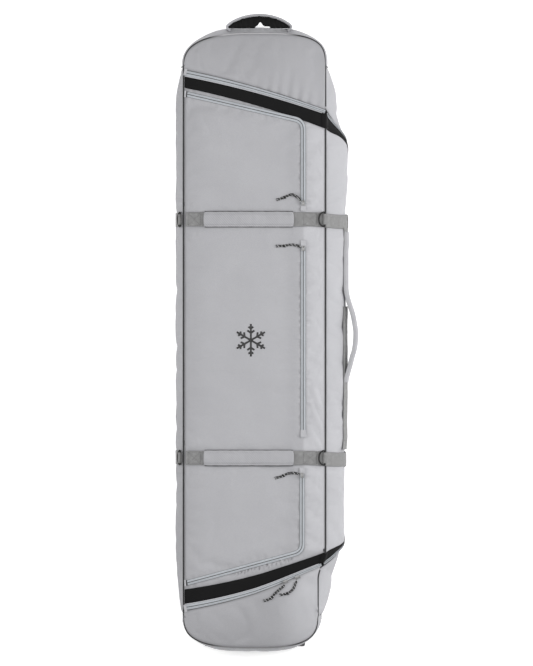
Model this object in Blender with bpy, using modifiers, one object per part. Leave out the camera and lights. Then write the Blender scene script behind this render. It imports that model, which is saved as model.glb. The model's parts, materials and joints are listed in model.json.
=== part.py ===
"""Wheeled padded snowboard travel bag, lying on its back with the front face up.

+Y runs to the tow-handle end, -Y to the wheel end, +Z out of the front face and +X to the side
that opens. The origin is on the floor under the middle of the bag. All lengths are metres.

The bag is a tray (the base) and a lid. The lid is hinged along the left side seam. Its zip runs
from that seam across the front, down the right side, along it and back across the front, so both
ends of the front face belong to the base.
"""
import math

import bmesh
import bpy
from mathutils import Matrix, Vector

# ---- Driving dimensions: outline and depth of the bag
HALF_WIDTH = 0.196            # side seams of the front face
TOP_SEAM_Y = 0.849
WHEEL_SEAM_Y = -0.855
TOP_ARC = 0.090               # how far the rounded top corners reach down the sides
WHEEL_ARC = 0.089
LEFT_CORNER = 2.6             # powers of the corner curves: the higher, the squarer
RIGHT_CORNER = 3.4
WHEEL_CORNER = 3.0
WHEEL_END_TAPER = 0.021       # the right seam steps in past the lower slanting zip
SEAM_HEIGHT = 0.190           # side seams above the floor, in the middle of the bag
END_DROP = 0.036              # how much lower the front is at both ends
CROWN = 0.014                 # front face, middle above its edges
FLAT_Y = 0.580                # the front is level up to here
PANEL = 0.005                 # padded fabric panel
SEAM_GAP = 0.0010             # between panels that meet at a seam
FLOOR_GAP = 0.010             # the skid rails hold the back panel this high
BACK_PANEL = 0.003

# ---- Side walls
LEFT_BULGE = 0.0215
UPPER_RIGHT_BULGE = 0.032
LOWER_RIGHT_BULGE = 0.040
LID_BULGE = 0.054             # the lid's side flares more, as a filled bag does
LID_FULLER = 0.005            # and swells in two steps towards the upper strap
TOP_BULGE = 0.016
WHEEL_BULGE = 0.010
CORNER_BULGE = 0.007
WHEEL_CORNER_BULGE = 0.004
ZIP_H = 0.30                  # height of the side zip, as a share of the side's height

# ---- The two slanting zips: where they cross the left seam, the middle and the right seam
UPPER_BAND = (0.7300, 0.6850, 0.6260)
UPPER_BAND_WIDTH = (0.031, 0.034, 0.040)
LOWER_BAND = (-0.7340, -0.6900, -0.6190)
LOWER_BAND_WIDTH = (0.040, 0.035, 0.028)
ZIP_TAPE = 0.018
ZIP_SPLIT = 0.002             # between the tape and the lid's band
ZIP_MARGIN = 0.0025           # between the tape and the panel beyond it
UPPER_CUT_SLOPE = 0.150       # how the cut between lid and base leans down the side
LOWER_CUT_SLOPE = 0.110

# ---- Straps, handles and fittings
STRAP_Y = (0.333, -0.328)
STRAP_WIDTH = 0.039
STRAP_THICK = 0.002
STRAP_END = 0.46              # the straps stop at the buckles, as a share of the side's height
SLEEVE_LENGTH = 0.248
SLEEVE_WIDTH = 0.043
SLEEVE_THICK = 0.009
SLEEVE_X = -0.016
RING_WIDTH = 0.040
RING_REACH = 0.017
RING_WIRE = 0.0045
BUCKLE_X = (0.2575, 0.2520)   # the side buckles stand on the widest part of the lid's side
BUCKLE_Z = 0.0645             # where plug and socket meet
BUCKLE_PLUG = (0.0065, 0.041, 0.018)
BUCKLE_SOCKET = (0.0090, 0.045, 0.024)
ZIP_LIFT = 0.0008             # strips lie this far above the panel
ZIP_THICK = 0.0016
POCKET_ZIP_WIDTH = 0.019
SLIDER = (0.0100, 0.0150, 0.0050)
SLIDER_LIFT = 0.0045
CORD_DIAMETER = 0.003

# ---- Wheels and their housing
WHEEL_DIAMETER = 0.076
HUB_DIAMETER = 0.054
WHEEL_WIDTH = 0.026
WHEEL_X = 0.128
WHEEL_Y = -0.821
WHEEL_CLEAR = 0.002           # above the floor while the bag lies on its rails
AXLE_DIAMETER = 0.008
WELL_WIDTH = 0.034
WELL_GAP = 0.005
HOUSING_TOP = 0.088
HOUSING_FRONT_Y = WHEEL_SEAM_Y + WHEEL_ARC
GAP = 0.0003

MODEL = bpy.data.collections.new("snowboard_bag")
CUTTERS = bpy.data.collections.new("cutters")


# ---- Materials -----------------------------------------------------------------------------
def material(name, colour, roughness, metallic=0.0):
    made = bpy.data.materials.new(name)
    made.use_nodes = True
    shader = made.node_tree.nodes["Principled BSDF"]
    shader.inputs["Base Color"].default_value = (*colour, 1.0)
    shader.inputs["Roughness"].default_value = roughness
    shader.inputs["Metallic"].default_value = metallic
    return made


SHELL_GREY = (0.46, 0.46, 0.48)
WEBBING_GREY = (0.24, 0.25, 0.25)
SLEEVE_GREY = (0.44, 0.44, 0.45)
ZIP_GREY = (0.47, 0.50, 0.53)
BLACK = (0.012, 0.012, 0.013)
STEEL = (0.62, 0.62, 0.63)
LINING = (0.10, 0.10, 0.11)


# ---- Small tools ---------------------------------------------------------------------------
def smooth(start, end, value):
    """0 before start, 1 after end, and an even curve between them."""
    t = min(1.0, max(0.0, (value - start) / (end - start)))
    return t * t * (3.0 - 2.0 * t)


def through(three, u):
    """A parabola through three values at u = -1, 0 and 1."""
    left, middle, right = three
    return middle + 0.5 * (right - left) * u + 0.5 * (right + left - 2.0 * middle) * u * u


def place(name, mesh, colour, roughness=0.8, metallic=0.0, collection=MODEL):
    piece = bpy.data.objects.new(name, mesh)
    collection.objects.link(piece)
    mesh.materials.clear()
    mesh.materials.append(material(name, colour, roughness, metallic))
    return piece


def grid(name, columns, rows, surface):
    """An open sheet of columns x rows faces; surface(u, v) gives a point for u, v in 0..1."""
    mesh = bpy.data.meshes.new(name)
    made = bmesh.new()
    bmesh.ops.create_grid(made, x_segments=columns, y_segments=rows, size=0.5)
    for vert in made.verts:
        vert.co = surface(vert.co.x + 0.5, vert.co.y + 0.5)
    made.to_mesh(mesh)
    made.free()
    return mesh


def panel(name, columns, rows, surface, colour, thickness=PANEL, roughness=0.8):
    """A sheet made solid on its inner side."""
    piece = place(name, grid(name, columns, rows, surface), colour, roughness)
    wall = piece.modifiers.new("thickness", "SOLIDIFY")
    wall.thickness = thickness
    wall.offset = -1.0
    piece.data.shade_smooth()
    piece.data.set_sharp_from_angle(angle=math.radians(40))
    return piece


def block(name, size, centre, colour, bevel=0.0, roughness=0.5, rotation=None, metallic=0.0):
    """A box with rounded edges, turned by rotation and moved to centre."""
    mesh = bpy.data.meshes.new(name)
    made = bmesh.new()
    bmesh.ops.create_cube(made, size=1.0)
    bmesh.ops.scale(made, vec=size, verts=made.verts)
    made.to_mesh(mesh)
    made.free()
    piece = place(name, mesh, colour, roughness, metallic)
    piece.matrix_world = Matrix.Translation(centre) @ (rotation or Matrix.Identity(4))
    if bevel:
        edge = piece.modifiers.new("edges", "BEVEL")
        edge.width = bevel
        edge.segments = 2
    return piece


def cylinder_mesh(name, radius, length, sides=32):
    """A cylinder along X."""
    mesh = bpy.data.meshes.new(name)
    made = bmesh.new()
    bmesh.ops.create_cone(made, cap_ends=True, segments=sides, radius1=radius, radius2=radius,
                          depth=length, matrix=Matrix.Rotation(math.radians(90), 4, "Y"))
    made.to_mesh(mesh)
    made.free()
    return mesh


def cutter(name, mesh, centre=(0.0, 0.0, 0.0)):
    piece = bpy.data.objects.new(name, mesh)
    CUTTERS.objects.link(piece)
    piece.location = centre
    piece.hide_render = True
    piece.display_type = "WIRE"
    return piece


def box_cutter(name, low, high):
    mesh = bpy.data.meshes.new(name)
    made = bmesh.new()
    bmesh.ops.create_cube(made, size=1.0)
    size = [b - a for a, b in zip(low, high)]
    bmesh.ops.scale(made, vec=size, verts=made.verts)
    made.to_mesh(mesh)
    made.free()
    return cutter(name, mesh, [(a + b) / 2.0 for a, b in zip(low, high)])


def cut(piece, tool):
    boolean = piece.modifiers.new(tool.name, "BOOLEAN")
    boolean.operation = "DIFFERENCE"
    boolean.solver = "EXACT"
    boolean.object = tool


def tube(name, points, diameter, colour, roughness=0.6, cyclic=False, resolution=2, metallic=0.0):
    """A round bar or cord along the points."""
    curve = bpy.data.curves.new(name, "CURVE")
    curve.dimensions = "3D"
    curve.bevel_depth = diameter / 2.0
    curve.bevel_resolution = resolution
    curve.use_fill_caps = True
    spline = curve.splines.new("POLY")
    spline.points.add(len(points) - 1)
    for target, point in zip(spline.points, points):
        target.co = (*point, 1.0)
    spline.use_cyclic_u = cyclic
    piece = bpy.data.objects.new(name, curve)
    MODEL.objects.link(piece)
    curve.materials.append(material(name, colour, roughness, metallic))
    return piece


def smooth_route(points, per_span):
    """Points on a Catmull-Rom curve through the given ones."""
    knots = [Vector(p) for p in points]
    knots = [2 * knots[0] - knots[1], *knots, 2 * knots[-1] - knots[-2]]
    route = []
    for a, b, c, d in zip(knots, knots[1:], knots[2:], knots[3:]):
        for step in range(per_span):
            t = step / per_span
            route.append(0.5 * (2 * b + (c - a) * t + (2 * a - 5 * b + 4 * c - d) * t * t
                                + (3 * b - a - 3 * c + d) * t ** 3))
    return [*route, knots[-2]]


# ---- The shape of the bag ------------------------------------------------------------------
def half_width(y, side):
    """Distance of the right (side > 0) or left front seam from the middle."""
    taper = WHEEL_END_TAPER * smooth(-0.585, -0.665, y) if side > 0 else 0.0
    return HALF_WIDTH - taper


def end_seam_y(u, top):
    """Y of the end seam at u, the share of the half width, with its rounded corners."""
    if top:
        power = RIGHT_CORNER if u > 0 else LEFT_CORNER
        return TOP_SEAM_Y - TOP_ARC * (1.0 - max(0.0, 1.0 - abs(u) ** power) ** (1.0 / power))
    rise = 1.0 - max(0.0, 1.0 - abs(u) ** WHEEL_CORNER) ** (1.0 / WHEEL_CORNER)
    return WHEEL_SEAM_Y + WHEEL_ARC * rise


def front_z(x, y):
    """Height of the front face."""
    u = min(1.0, abs(x) / half_width(y, x))
    fade = max(0.0, abs(y) - FLAT_Y) / (TOP_SEAM_Y - FLAT_Y)
    seam = SEAM_HEIGHT - END_DROP * fade * fade
    return seam + CROWN * (1.0 - u * u) * max(0.0, 1.0 - fade * fade)


def on_front(x, y, lift=0.0):
    return Vector((x, y, front_z(x, y) + lift))


def side_bulge(y, side):
    """How far the side stands out of its seams; side is +1 on the right, -1 on the left."""
    if side < 0:
        if y > 0:
            return CORNER_BULGE + (LEFT_BULGE - CORNER_BULGE) * smooth(0.770, 0.660, y)
        return WHEEL_CORNER_BULGE + (LEFT_BULGE - WHEEL_CORNER_BULGE) * smooth(-0.800, -0.600, y)
    if y > 0:
        end = CORNER_BULGE + (UPPER_RIGHT_BULGE - CORNER_BULGE) * smooth(0.770, 0.670, y)
    else:
        end = WHEEL_CORNER_BULGE + (LOWER_RIGHT_BULGE - WHEEL_CORNER_BULGE) * smooth(-0.830, -0.650, y)
    lid = smooth(0.635, 0.530, y) * smooth(-0.598, -0.562, y)
    fuller = smooth(-0.40, -0.15, y) + smooth(0.36, 0.46, y)
    return end + (LID_BULGE + LID_FULLER * fuller - end) * lid


def side_point(y, h, side):
    """A point of the side wall at y and height share h."""
    seam_x = half_width(y, side)
    low = FLOOR_GAP + BACK_PANEL + SEAM_GAP
    high = front_z(seam_x, y) - PANEL - 2.5 * SEAM_GAP
    x = seam_x + side_bulge(y, side) * math.sin(math.pi * h)
    return Vector((side * x, y, low + (high - low) * h))


def end_plan(u, top):
    y = end_seam_y(u, top)
    return Vector((u * half_width(y, u), y, 0.0))


def end_point(u, h, top, low):
    """A point of an end wall; u runs over the width, h from low up to the front seam."""
    here = end_plan(u, top)
    nearby = 0.01 if u < 0 else -0.01
    along = end_plan(u + nearby, top) - here
    outward = Vector((-along.y, along.x, 0.0)).normalized()
    if (outward.y > 0) != top:
        outward = -outward
    corner = side_bulge(here.y, u)
    middle = TOP_BULGE if top else WHEEL_BULGE
    bulge = corner + (middle - corner) * smooth(1.0, 0.45, abs(u))
    high = front_z(here.x, here.y) - PANEL - 2.5 * SEAM_GAP
    floor = FLOOR_GAP + BACK_PANEL + SEAM_GAP
    z = low + (high - low) * h
    here += outward * bulge * math.sin(math.pi * (z - floor) / (high - floor))
    here.z = z
    return here


def widen(v):
    """Columns over the width that are closer together in the rounded corners, -1..1."""
    return math.sin(math.pi * (v - 0.5))


def band_top(u):
    """Zip-side edge of the lid's upper band."""
    return through(UPPER_BAND, u)


def band_bottom(u):
    """Zip-side edge of the lid's lower band."""
    return through(LOWER_BAND, u)


def upper_cut(h):
    return UPPER_BAND[2] - UPPER_CUT_SLOPE * (1.0 - h)


def lower_cut(h):
    return LOWER_BAND[2] + LOWER_CUT_SLOPE * (1.0 - h)


# ---- Base ----------------------------------------------------------------------------------
def make_base_panels():
    plate_low = HOUSING_FRONT_Y + SEAM_GAP

    def back(u, v):
        across = widen(u)
        y = plate_low + (end_seam_y(across, True) - plate_low) * v
        return Vector((across * half_width(y, across), y, FLOOR_GAP + BACK_PANEL))

    panel("back_panel", 24, 2, back, SHELL_GREY, BACK_PANEL)
    block("base_pad", (0.336, 1.44, 0.010), (0.0, 0.010, FLOOR_GAP + BACK_PANEL + 0.0062), LINING, 0.003)

    low_y, high_y = HOUSING_FRONT_Y + SEAM_GAP, TOP_SEAM_Y - TOP_ARC - SEAM_GAP
    panel("left_gusset", 16, 6, lambda u, v: side_point(high_y + (low_y - high_y) * u, v, -1),
          SHELL_GREY)
    wall_h = ZIP_H - 0.075
    panel("right_base_wall", 48, 3,
          lambda u, v: side_point(low_y + (high_y - low_y) * u, v * wall_h, 1), SHELL_GREY)

    def end_side(start_y, end_y):
        low_h = wall_h + 0.010

        def surface(u, v):
            h = low_h + (1.0 - low_h) * v
            start = start_y(h)
            return side_point(start + (end_y(h) - start) * u, h, 1)
        return surface

    margin = ZIP_TAPE + ZIP_MARGIN
    panel("upper_right_gusset", 6, 6, end_side(lambda h: upper_cut(h) + margin, lambda h: high_y),
          SHELL_GREY)
    panel("lower_right_gusset", 8, 6, end_side(lambda h: low_y, lambda h: lower_cut(h) - margin),
          SHELL_GREY)

    floor = FLOOR_GAP + BACK_PANEL + SEAM_GAP
    panel("top_gusset", 28, 6, lambda u, v: end_point(widen(1.0 - u), v, True, floor), SHELL_GREY)
    panel("wheel_end_gusset", 28, 5,
          lambda u, v: end_point(widen(u), v, False, HOUSING_TOP + SEAM_GAP), SHELL_GREY)

    def upper_front(u, v):
        across = widen(u)
        low = band_top(across) + ZIP_TAPE + ZIP_MARGIN
        y = low + (end_seam_y(across, True) - low) * v
        return on_front(across * half_width(y, across), y)

    def lower_front(u, v):
        across = widen(u)
        high = band_bottom(across) - ZIP_TAPE - ZIP_MARGIN
        y = end_seam_y(across, False) * (1.0 - v) + high * v
        return on_front(across * half_width(y, across), y)

    panel("upper_front_panel", 24, 4, upper_front, SHELL_GREY)
    panel("lower_front_panel", 24, 4, lower_front, SHELL_GREY)


def make_main_zip():
    """The base half of the main zip: its two slanting runs and its run along the side."""
    def strip(edge, sign):
        def surface(u, v):
            across = -1.0 + 2.0 * u
            share = v if sign > 0 else 1.0 - v
            y = edge(across) + sign * (ZIP_SPLIT + (ZIP_TAPE - ZIP_SPLIT) * share)
            return on_front(across * half_width(y, across), y)
        return surface

    panel("main_zip_upper", 14, 1, strip(band_top, 1.0), ZIP_GREY, ZIP_THICK)
    panel("main_zip_lower", 14, 1, strip(band_bottom, -1.0), ZIP_GREY, ZIP_THICK)
    low_h, high_h = ZIP_H - 0.070, ZIP_H - 0.006
    start, end = lower_cut(ZIP_H) + 0.02, upper_cut(ZIP_H) - 0.02
    panel("main_zip_side", 14, 1,
          lambda u, v: side_point(start + (end - start) * u, low_h + (high_h - low_h) * v, 1),
          ZIP_GREY, ZIP_THICK)


def make_wheel_end():
    """Moulded housing, its wheels and the rails that the bag lies on."""
    outline = []
    steps = 24
    for step in range(steps + 1):
        u = widen(step / steps)
        point = end_point(u, 0.0, False, HOUSING_TOP * 0.75)
        straight = abs(u) < 0.44             # one long edge needs no points of its own
        if not straight and point.y < HOUSING_FRONT_Y - 0.002:
            outline.append(point)
    outline.append(Vector((outline[-1].x, HOUSING_FRONT_Y, 0.0)))
    outline.insert(0, Vector((outline[0].x, HOUSING_FRONT_Y, 0.0)))

    curve = bpy.data.curves.new("housing_outline", "CURVE")
    curve.dimensions = "2D"
    curve.fill_mode = "BOTH"
    foot = 0.001
    curve.extrude = (HOUSING_TOP - foot) / 2.0
    spline = curve.splines.new("POLY")
    spline.points.add(len(outline) - 1)
    for target, point in zip(spline.points, outline):
        target.co = (point.x, point.y, 0.0, 1.0)
    spline.use_cyclic_u = True
    shape = bpy.data.objects.new("housing_outline", curve)
    MODEL.objects.link(shape)
    shape.location.z = (HOUSING_TOP + foot) / 2.0
    bpy.context.view_layer.update()
    seen = shape.evaluated_get(bpy.context.evaluated_depsgraph_get())
    mesh = bpy.data.meshes.new_from_object(seen)
    matrix = shape.matrix_world.copy()
    bpy.data.objects.remove(shape)
    made = bmesh.new()
    made.from_mesh(mesh)
    bmesh.ops.remove_doubles(made, verts=made.verts, dist=0.00001)
    made.to_mesh(mesh)
    made.free()
    housing = place("wheel_housing", mesh, BLACK, 0.5)
    housing.matrix_world = matrix

    axle_z = WHEEL_CLEAR + WHEEL_DIAMETER / 2.0
    well_top = axle_z + WHEEL_DIAMETER / 2.0 + WELL_GAP
    well_front = WHEEL_Y + WHEEL_DIAMETER / 2.0 + WELL_GAP
    below, outside = -0.05, WHEEL_SEAM_Y - 0.10
    for side, mark in (("left", -1.0), ("right", 1.0)):
        centre = mark * WHEEL_X
        low = (centre - WELL_WIDTH / 2.0, outside, below)
        high = (centre + WELL_WIDTH / 2.0, well_front, well_top)
        cut(housing, box_cutter(f"well_{side}_cutter", low, high))
    cut(housing, box_cutter("hollow_cutter", (-0.085, WHEEL_SEAM_Y - 0.010, 0.008),
                            (0.085, HOUSING_FRONT_Y - 0.006, HOUSING_TOP + 0.05)))

    for side, mark in (("left", -1.0), ("right", 1.0)):
        centre = Vector((mark * WHEEL_X, WHEEL_Y, axle_z))
        axle = place(f"axle_{side}", cylinder_mesh("axle", AXLE_DIAMETER / 2.0, WELL_WIDTH - 2 * GAP, 20),
                     STEEL, 0.3, 1.0)
        axle.location = centre
        axle.data.shade_smooth()
        axle.data.set_sharp_from_angle(angle=math.radians(40))
        bore = cutter(f"bore_{side}_cutter", cylinder_mesh("bore", AXLE_DIAMETER / 2.0 + GAP, 0.08, 20), centre)
        rim = cutter(f"rim_{side}_cutter", cylinder_mesh("rim", HUB_DIAMETER / 2.0 + GAP, 0.08, 36), centre)
        rounds = (("wheel_hub", HUB_DIAMETER, WHEEL_WIDTH - 0.004, bore, (0.30, 0.30, 0.31)),
                  ("tyre", WHEEL_DIAMETER, WHEEL_WIDTH, rim, BLACK))
        for name, diameter, width, tool, colour in rounds:
            piece = place(f"{name}_{side}", cylinder_mesh(name, diameter / 2.0, width, 36), colour, 0.6)
            piece.location = centre
            piece.data.shade_smooth()
            piece.data.set_sharp_from_angle(angle=math.radians(40))
            cut(piece, tool)

    rail_height = FLOOR_GAP - GAP
    for side, mark in (("left", -1.0), ("right", 1.0)):
        block(f"skid_rail_{side}", (0.022, 1.36, rail_height), (mark * 0.135, 0.020, rail_height / 2.0),
              BLACK, 0.002)


def make_base_fittings():
    """Straps on the left side, buckle sockets on the right, inner straps and the tow handle."""
    for place_name, y, buckle_x in zip(("upper", "lower"), STRAP_Y, BUCKLE_X):
        def left_strap(u, v, y=y):
            point = side_point(y + STRAP_WIDTH * (0.5 - u), 0.04 + 0.84 * v, -1)
            return point + Vector((-(STRAP_THICK + ZIP_LIFT), 0.0, 0.0))
        panel(f"left_strap_{place_name}", 1, 7, left_strap, WEBBING_GREY, STRAP_THICK)
        block(f"buckle_socket_{place_name}", BUCKLE_SOCKET, (buckle_x - 0.0035, y, BUCKLE_Z - 0.0130),
              BLACK, 0.0015)
        floor = FLOOR_GAP + BACK_PANEL + 0.0112
        block(f"inner_strap_{place_name}", (0.34, 0.025, 0.002), (0.0, y + 0.07, floor + 0.0016), LINING)
        block(f"inner_buckle_{place_name}", (0.062, 0.036, 0.009), (0.045, y + 0.07, floor + 0.0076),
              BLACK, 0.002)


TOW_X = 0.0125
TOW_HALF = 0.086
TOW_REACH = 0.030
TOW_ARCH = 1.6                # power of the arch: 1 is an ellipse, 2 a parabola
TOW_Z = 0.125
TOW_WIDTH = 0.026


def make_tow_handle():
    """A webbing loop across the top end, standing out in a flat arch."""
    root_y = TOP_SEAM_Y + TOP_BULGE + 0.004

    def outer(u, v):
        angle = math.pi * (1.0 - u)
        x = TOW_X - TOW_HALF * math.cos(angle)
        y = root_y + TOW_REACH * math.sin(angle) ** TOW_ARCH
        return Vector((x, y, TOW_Z + TOW_WIDTH * (v - 0.5)))

    panel("tow_handle", 20, 1, outer, SHELL_GREY, 0.006)


# ---- Lid -----------------------------------------------------------------------------------
def make_lid_panels():
    def front(u, v):
        across = widen(u)
        low = band_bottom(across) + through(LOWER_BAND_WIDTH, across) + SEAM_GAP
        high = band_top(across) - through(UPPER_BAND_WIDTH, across) - SEAM_GAP
        y = low + (high - low) * v
        return on_front(across * (half_width(y, across) - 0.0015), y)

    panel("lid_panel", 14, 8, front, SHELL_GREY)

    def side(u, v):
        h = ZIP_H + (1.0 - ZIP_H) * v
        low, high = lower_cut(h) + SEAM_GAP, upper_cut(h) - SEAM_GAP
        return side_point(low + (high - low) * u, h, 1)

    panel("lid_gusset", 34, 6, side, SHELL_GREY)
    block("lid_pad", (0.35, 1.08, 0.008), (0.0, 0.005, SEAM_HEIGHT - PANEL - 0.0075), LINING, 0.003)

    def band(edge, width, sign):
        def surface(u, v):
            across = -1.0 + 2.0 * u
            reach = through(width, across)
            share = v if sign > 0 else 1.0 - v
            y = edge(across) + sign * reach * share
            return on_front(across * (half_width(y, across) - 0.0015), y)
        return surface

    panel("lid_band_upper", 14, 1, band(band_top, UPPER_BAND_WIDTH, -1.0), BLACK)
    panel("lid_band_lower", 14, 1, band(band_bottom, LOWER_BAND_WIDTH, 1.0), BLACK)


def rounded_path(corners, radius, arc_steps=5, span_steps=5):
    """Points along straight runs between corners, with an arc in each inner corner."""
    path = [Vector(corners[0])]
    for before, corner, after in zip(corners, corners[1:], corners[2:]):
        before, corner, after = Vector(before), Vector(corner), Vector(after)
        into, out = (corner - before).normalized(), (after - corner).normalized()
        turn = into.angle(out)
        reach = radius * math.tan(turn / 2.0)
        start, end = corner - into * reach, corner + out * reach
        first = path[-1]
        path += [first.lerp(start, (i + 1) / span_steps) for i in range(span_steps)]
        for i in range(arc_steps):
            t = (i + 1) / arc_steps
            path.append(start.lerp(corner, t).lerp(corner.lerp(end, t), t))
    last = Vector(corners[-1])
    first = path[-1]
    path += [first.lerp(last, (i + 1) / span_steps) for i in range(span_steps)]
    return path


POCKET_ZIPS = {
    "upper_pocket": [(-0.187, 0.6800), (0.135, 0.6050), (0.135, 0.3560)],
    "centre_pocket": [(0.135, 0.2740), (0.135, -0.2720)],
    "lower_pocket": [(-0.186, -0.6745), (0.132, -0.5880), (0.132, -0.3560)],
}
POCKET_CORNER = 0.030


def make_pocket_zips():
    for name, corners in POCKET_ZIPS.items():
        path = rounded_path(corners, POCKET_CORNER)
        rows = len(path) - 1

        def strip(u, v, path=path, rows=rows):
            index = round(v * rows)
            before, after = path[max(0, index - 1)], path[min(rows, index + 1)]
            along = (after - before).normalized()
            across = Vector((along.y, -along.x))
            here = path[index] + across * POCKET_ZIP_WIDTH * (u - 0.5)
            return on_front(here.x, here.y, ZIP_LIFT + ZIP_THICK)
        panel(f"{name}_zip", 1, rows, strip, ZIP_GREY, ZIP_THICK)


def strap_path(y, height, front_steps=12, side_steps=6):
    """Outer side of a lid strap: across the front face, over the right seam and down the side."""
    start, end = -HALF_WIDTH + 0.006, HALF_WIDTH
    path = [on_front(start + (end - start) * i / front_steps, y, height) for i in range(front_steps + 1)]
    path.append(path[-1] + Vector((0.005, 0.0, -0.0035)))
    out = Vector((STRAP_THICK + ZIP_LIFT + 0.0015, 0.0, 0.0))
    for i in range(side_steps + 1):
        path.append(side_point(y, 0.97 - (0.97 - STRAP_END) * i / side_steps, 1) + out)
    return path


def make_lid_fittings():
    for name, y, buckle_x in zip(("upper", "lower"), STRAP_Y, BUCKLE_X):
        height = 2 * ZIP_LIFT + ZIP_THICK + STRAP_THICK
        path = strap_path(y, height)
        rows = len(path) - 1

        def strap(u, v, path=path, rows=rows):
            return path[round(v * rows)] + Vector((0.0, STRAP_WIDTH * (0.5 - u), 0.0))
        panel(f"lid_strap_{name}", 1, rows, strap, WEBBING_GREY, STRAP_THICK)

        block(f"buckle_plug_{name}", BUCKLE_PLUG, (buckle_x, y, BUCKLE_Z + 0.0100), BLACK, 0.0015)

        def sleeve(u, v, y=y, height=height):
            x = SLEEVE_X + SLEEVE_LENGTH * (u - 0.5)
            crown = (1.0 - (2.0 * v - 1.0) ** 2) * 0.003
            return on_front(x, y + SLEEVE_WIDTH * (v - 0.5), height + GAP + SLEEVE_THICK + crown - 0.002)
        panel(f"wrap_sleeve_{name}", 10, 4, sleeve, SLEEVE_GREY, SLEEVE_THICK - 0.003)


HANDLE_ENDS = (0.300, -0.120)
HANDLE_ARCH_SHARE = 0.63      # the part of the sleeve that stands out; the rest lies on the side
HANDLE_REACH = 0.031
HANDLE_WIDTH = 0.030
HANDLE_THICK = 0.008
HANDLE_OFF = 0.0042
HANDLE_ROOT_H = 0.62


def make_side_handle():
    """A padded sleeve on a webbing loop, arched out of the lid's side."""
    top, bottom = HANDLE_ENDS
    root = side_point(0.0, HANDLE_ROOT_H, 1)

    def outer(u, v):
        y = bottom + (top - bottom) * u
        arch = math.sin(math.pi * min(1.0, u / HANDLE_ARCH_SHARE)) ** 1.6
        x = root.x + HANDLE_OFF + HANDLE_THICK + HANDLE_REACH * arch
        return Vector((x, y, root.z + HANDLE_WIDTH * (v - 0.5)))
    panel("side_handle", 18, 1, outer, SLEEVE_GREY, HANDLE_THICK)


def d_ring(name, bar_centre, outward):
    """A D of round wire: straight bar along Y, the bow reaching out along outward."""
    centre, outward = Vector(bar_centre), Vector(outward).normalized()
    points = []
    steps = 12
    for step in range(steps + 1):
        angle = math.pi * step / steps
        across = math.cos(angle) * RING_WIDTH / 2.0
        reach = math.sin(angle) ** 0.8 * RING_REACH
        points.append(centre + Vector((0.0, across, 0.0)) + outward * reach)
    return tube(name, points, RING_WIRE, BLACK, 0.4, cyclic=True)


def make_rings():
    for name, y in zip(("upper", "lower"), STRAP_Y):
        left = side_point(y, 0.93, -1)
        d_ring(f"ring_left_{name}", (left.x - 0.0065, y, left.z), (-0.40, 0.0, -1.0))
        right = on_front(HALF_WIDTH - 0.001, y)
        d_ring(f"ring_right_{name}", (right.x, y, right.z + 0.0084), (-1.0, 0.0, 0.24))


# ---- Zip sliders and their pull cords --------------------------------------------------------
def unit(x, y):
    return Vector((x, y)).normalized()


SLIDERS = {
    # name: (place, direction of its zip, pull cord route from the slider: right, along +Y, lift)
    "upper_pocket": ((0.135, 0.3780), unit(0.0, 1.0),
                     [(-0.0075, 0.004), (-0.014, 0.012), (-0.030, 0.0215), (-0.048, 0.0165),
                      (-0.058, 0.0120), (-0.0735, 0.0060)]),
    "centre_pocket": ((0.135, 0.2520), unit(0.0, 1.0),
                      [(-0.0075, 0.003), (-0.016, 0.006), (-0.032, 0.0085), (-0.048, 0.0070),
                       (-0.060, 0.0060), (-0.0755, 0.0040)]),
    "lower_pocket": ((0.132, -0.3760), unit(0.0, 1.0),
                     [(-0.0075, 0.002), (-0.018, 0.004), (-0.033, 0.0040), (-0.048, 0.0000),
                      (-0.060, -0.0050), (-0.0745, -0.0105)]),
    "main_left": ((0.0860, -0.6710), unit(0.940, 0.340),
                  [(-0.0030, -0.0095), (-0.007, -0.016), (-0.020, -0.0270), (-0.034, -0.0400),
                   (-0.045, -0.0500), (-0.060, -0.0560)]),
    "main_right": ((0.1200, -0.6590), unit(0.940, 0.340),
                   [(-0.0020, -0.0095), (-0.0050, -0.018), (-0.0110, -0.0330), (-0.023, -0.0430),
                    (-0.038, -0.0480), (-0.050, -0.0515)]),
}


def make_sliders():
    for name, (spot, along, pull) in SLIDERS.items():
        centre = on_front(*spot, SLIDER_LIFT + SLIDER[2] / 2.0)
        turned = Matrix.Rotation(math.atan2(along.y, along.x) - math.pi / 2.0, 4, "Z")
        block(f"slider_{name}", SLIDER, centre, (0.35, 0.36, 0.38), 0.0012, 0.4, turned, 0.6)
        lift = ZIP_LIFT + ZIP_THICK + CORD_DIAMETER / 2.0 + 0.0012
        start = centre.z - front_z(centre.x, centre.y)
        route = []
        for index, (dx, dy) in enumerate(pull):
            x, y = spot[0] + dx, spot[1] + dy
            route.append(on_front(x, y, start if index == 0 else lift))
        tube(f"pull_cord_{name}", smooth_route(route, 3), CORD_DIAMETER, BLACK, 0.8)


def centre_on_floor():
    """Hang every piece on an empty that puts the origin under the middle of the bag's box."""
    origin = bpy.data.objects.new("bag_origin", None)
    MODEL.objects.link(origin)
    bpy.context.view_layer.update()
    graph = bpy.context.evaluated_depsgraph_get()
    pieces = [piece for piece in MODEL.objects if piece is not origin]
    points = []
    for piece in pieces:
        mesh = piece.evaluated_get(graph).to_mesh()
        points += [piece.matrix_world @ vert.co for vert in mesh.vertices]
    for axis in (0, 1):
        values = [point[axis] for point in points]
        origin.location[axis] = -(min(values) + max(values)) / 2.0
    for piece in [*pieces, *CUTTERS.objects]:
        piece.parent = origin


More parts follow.
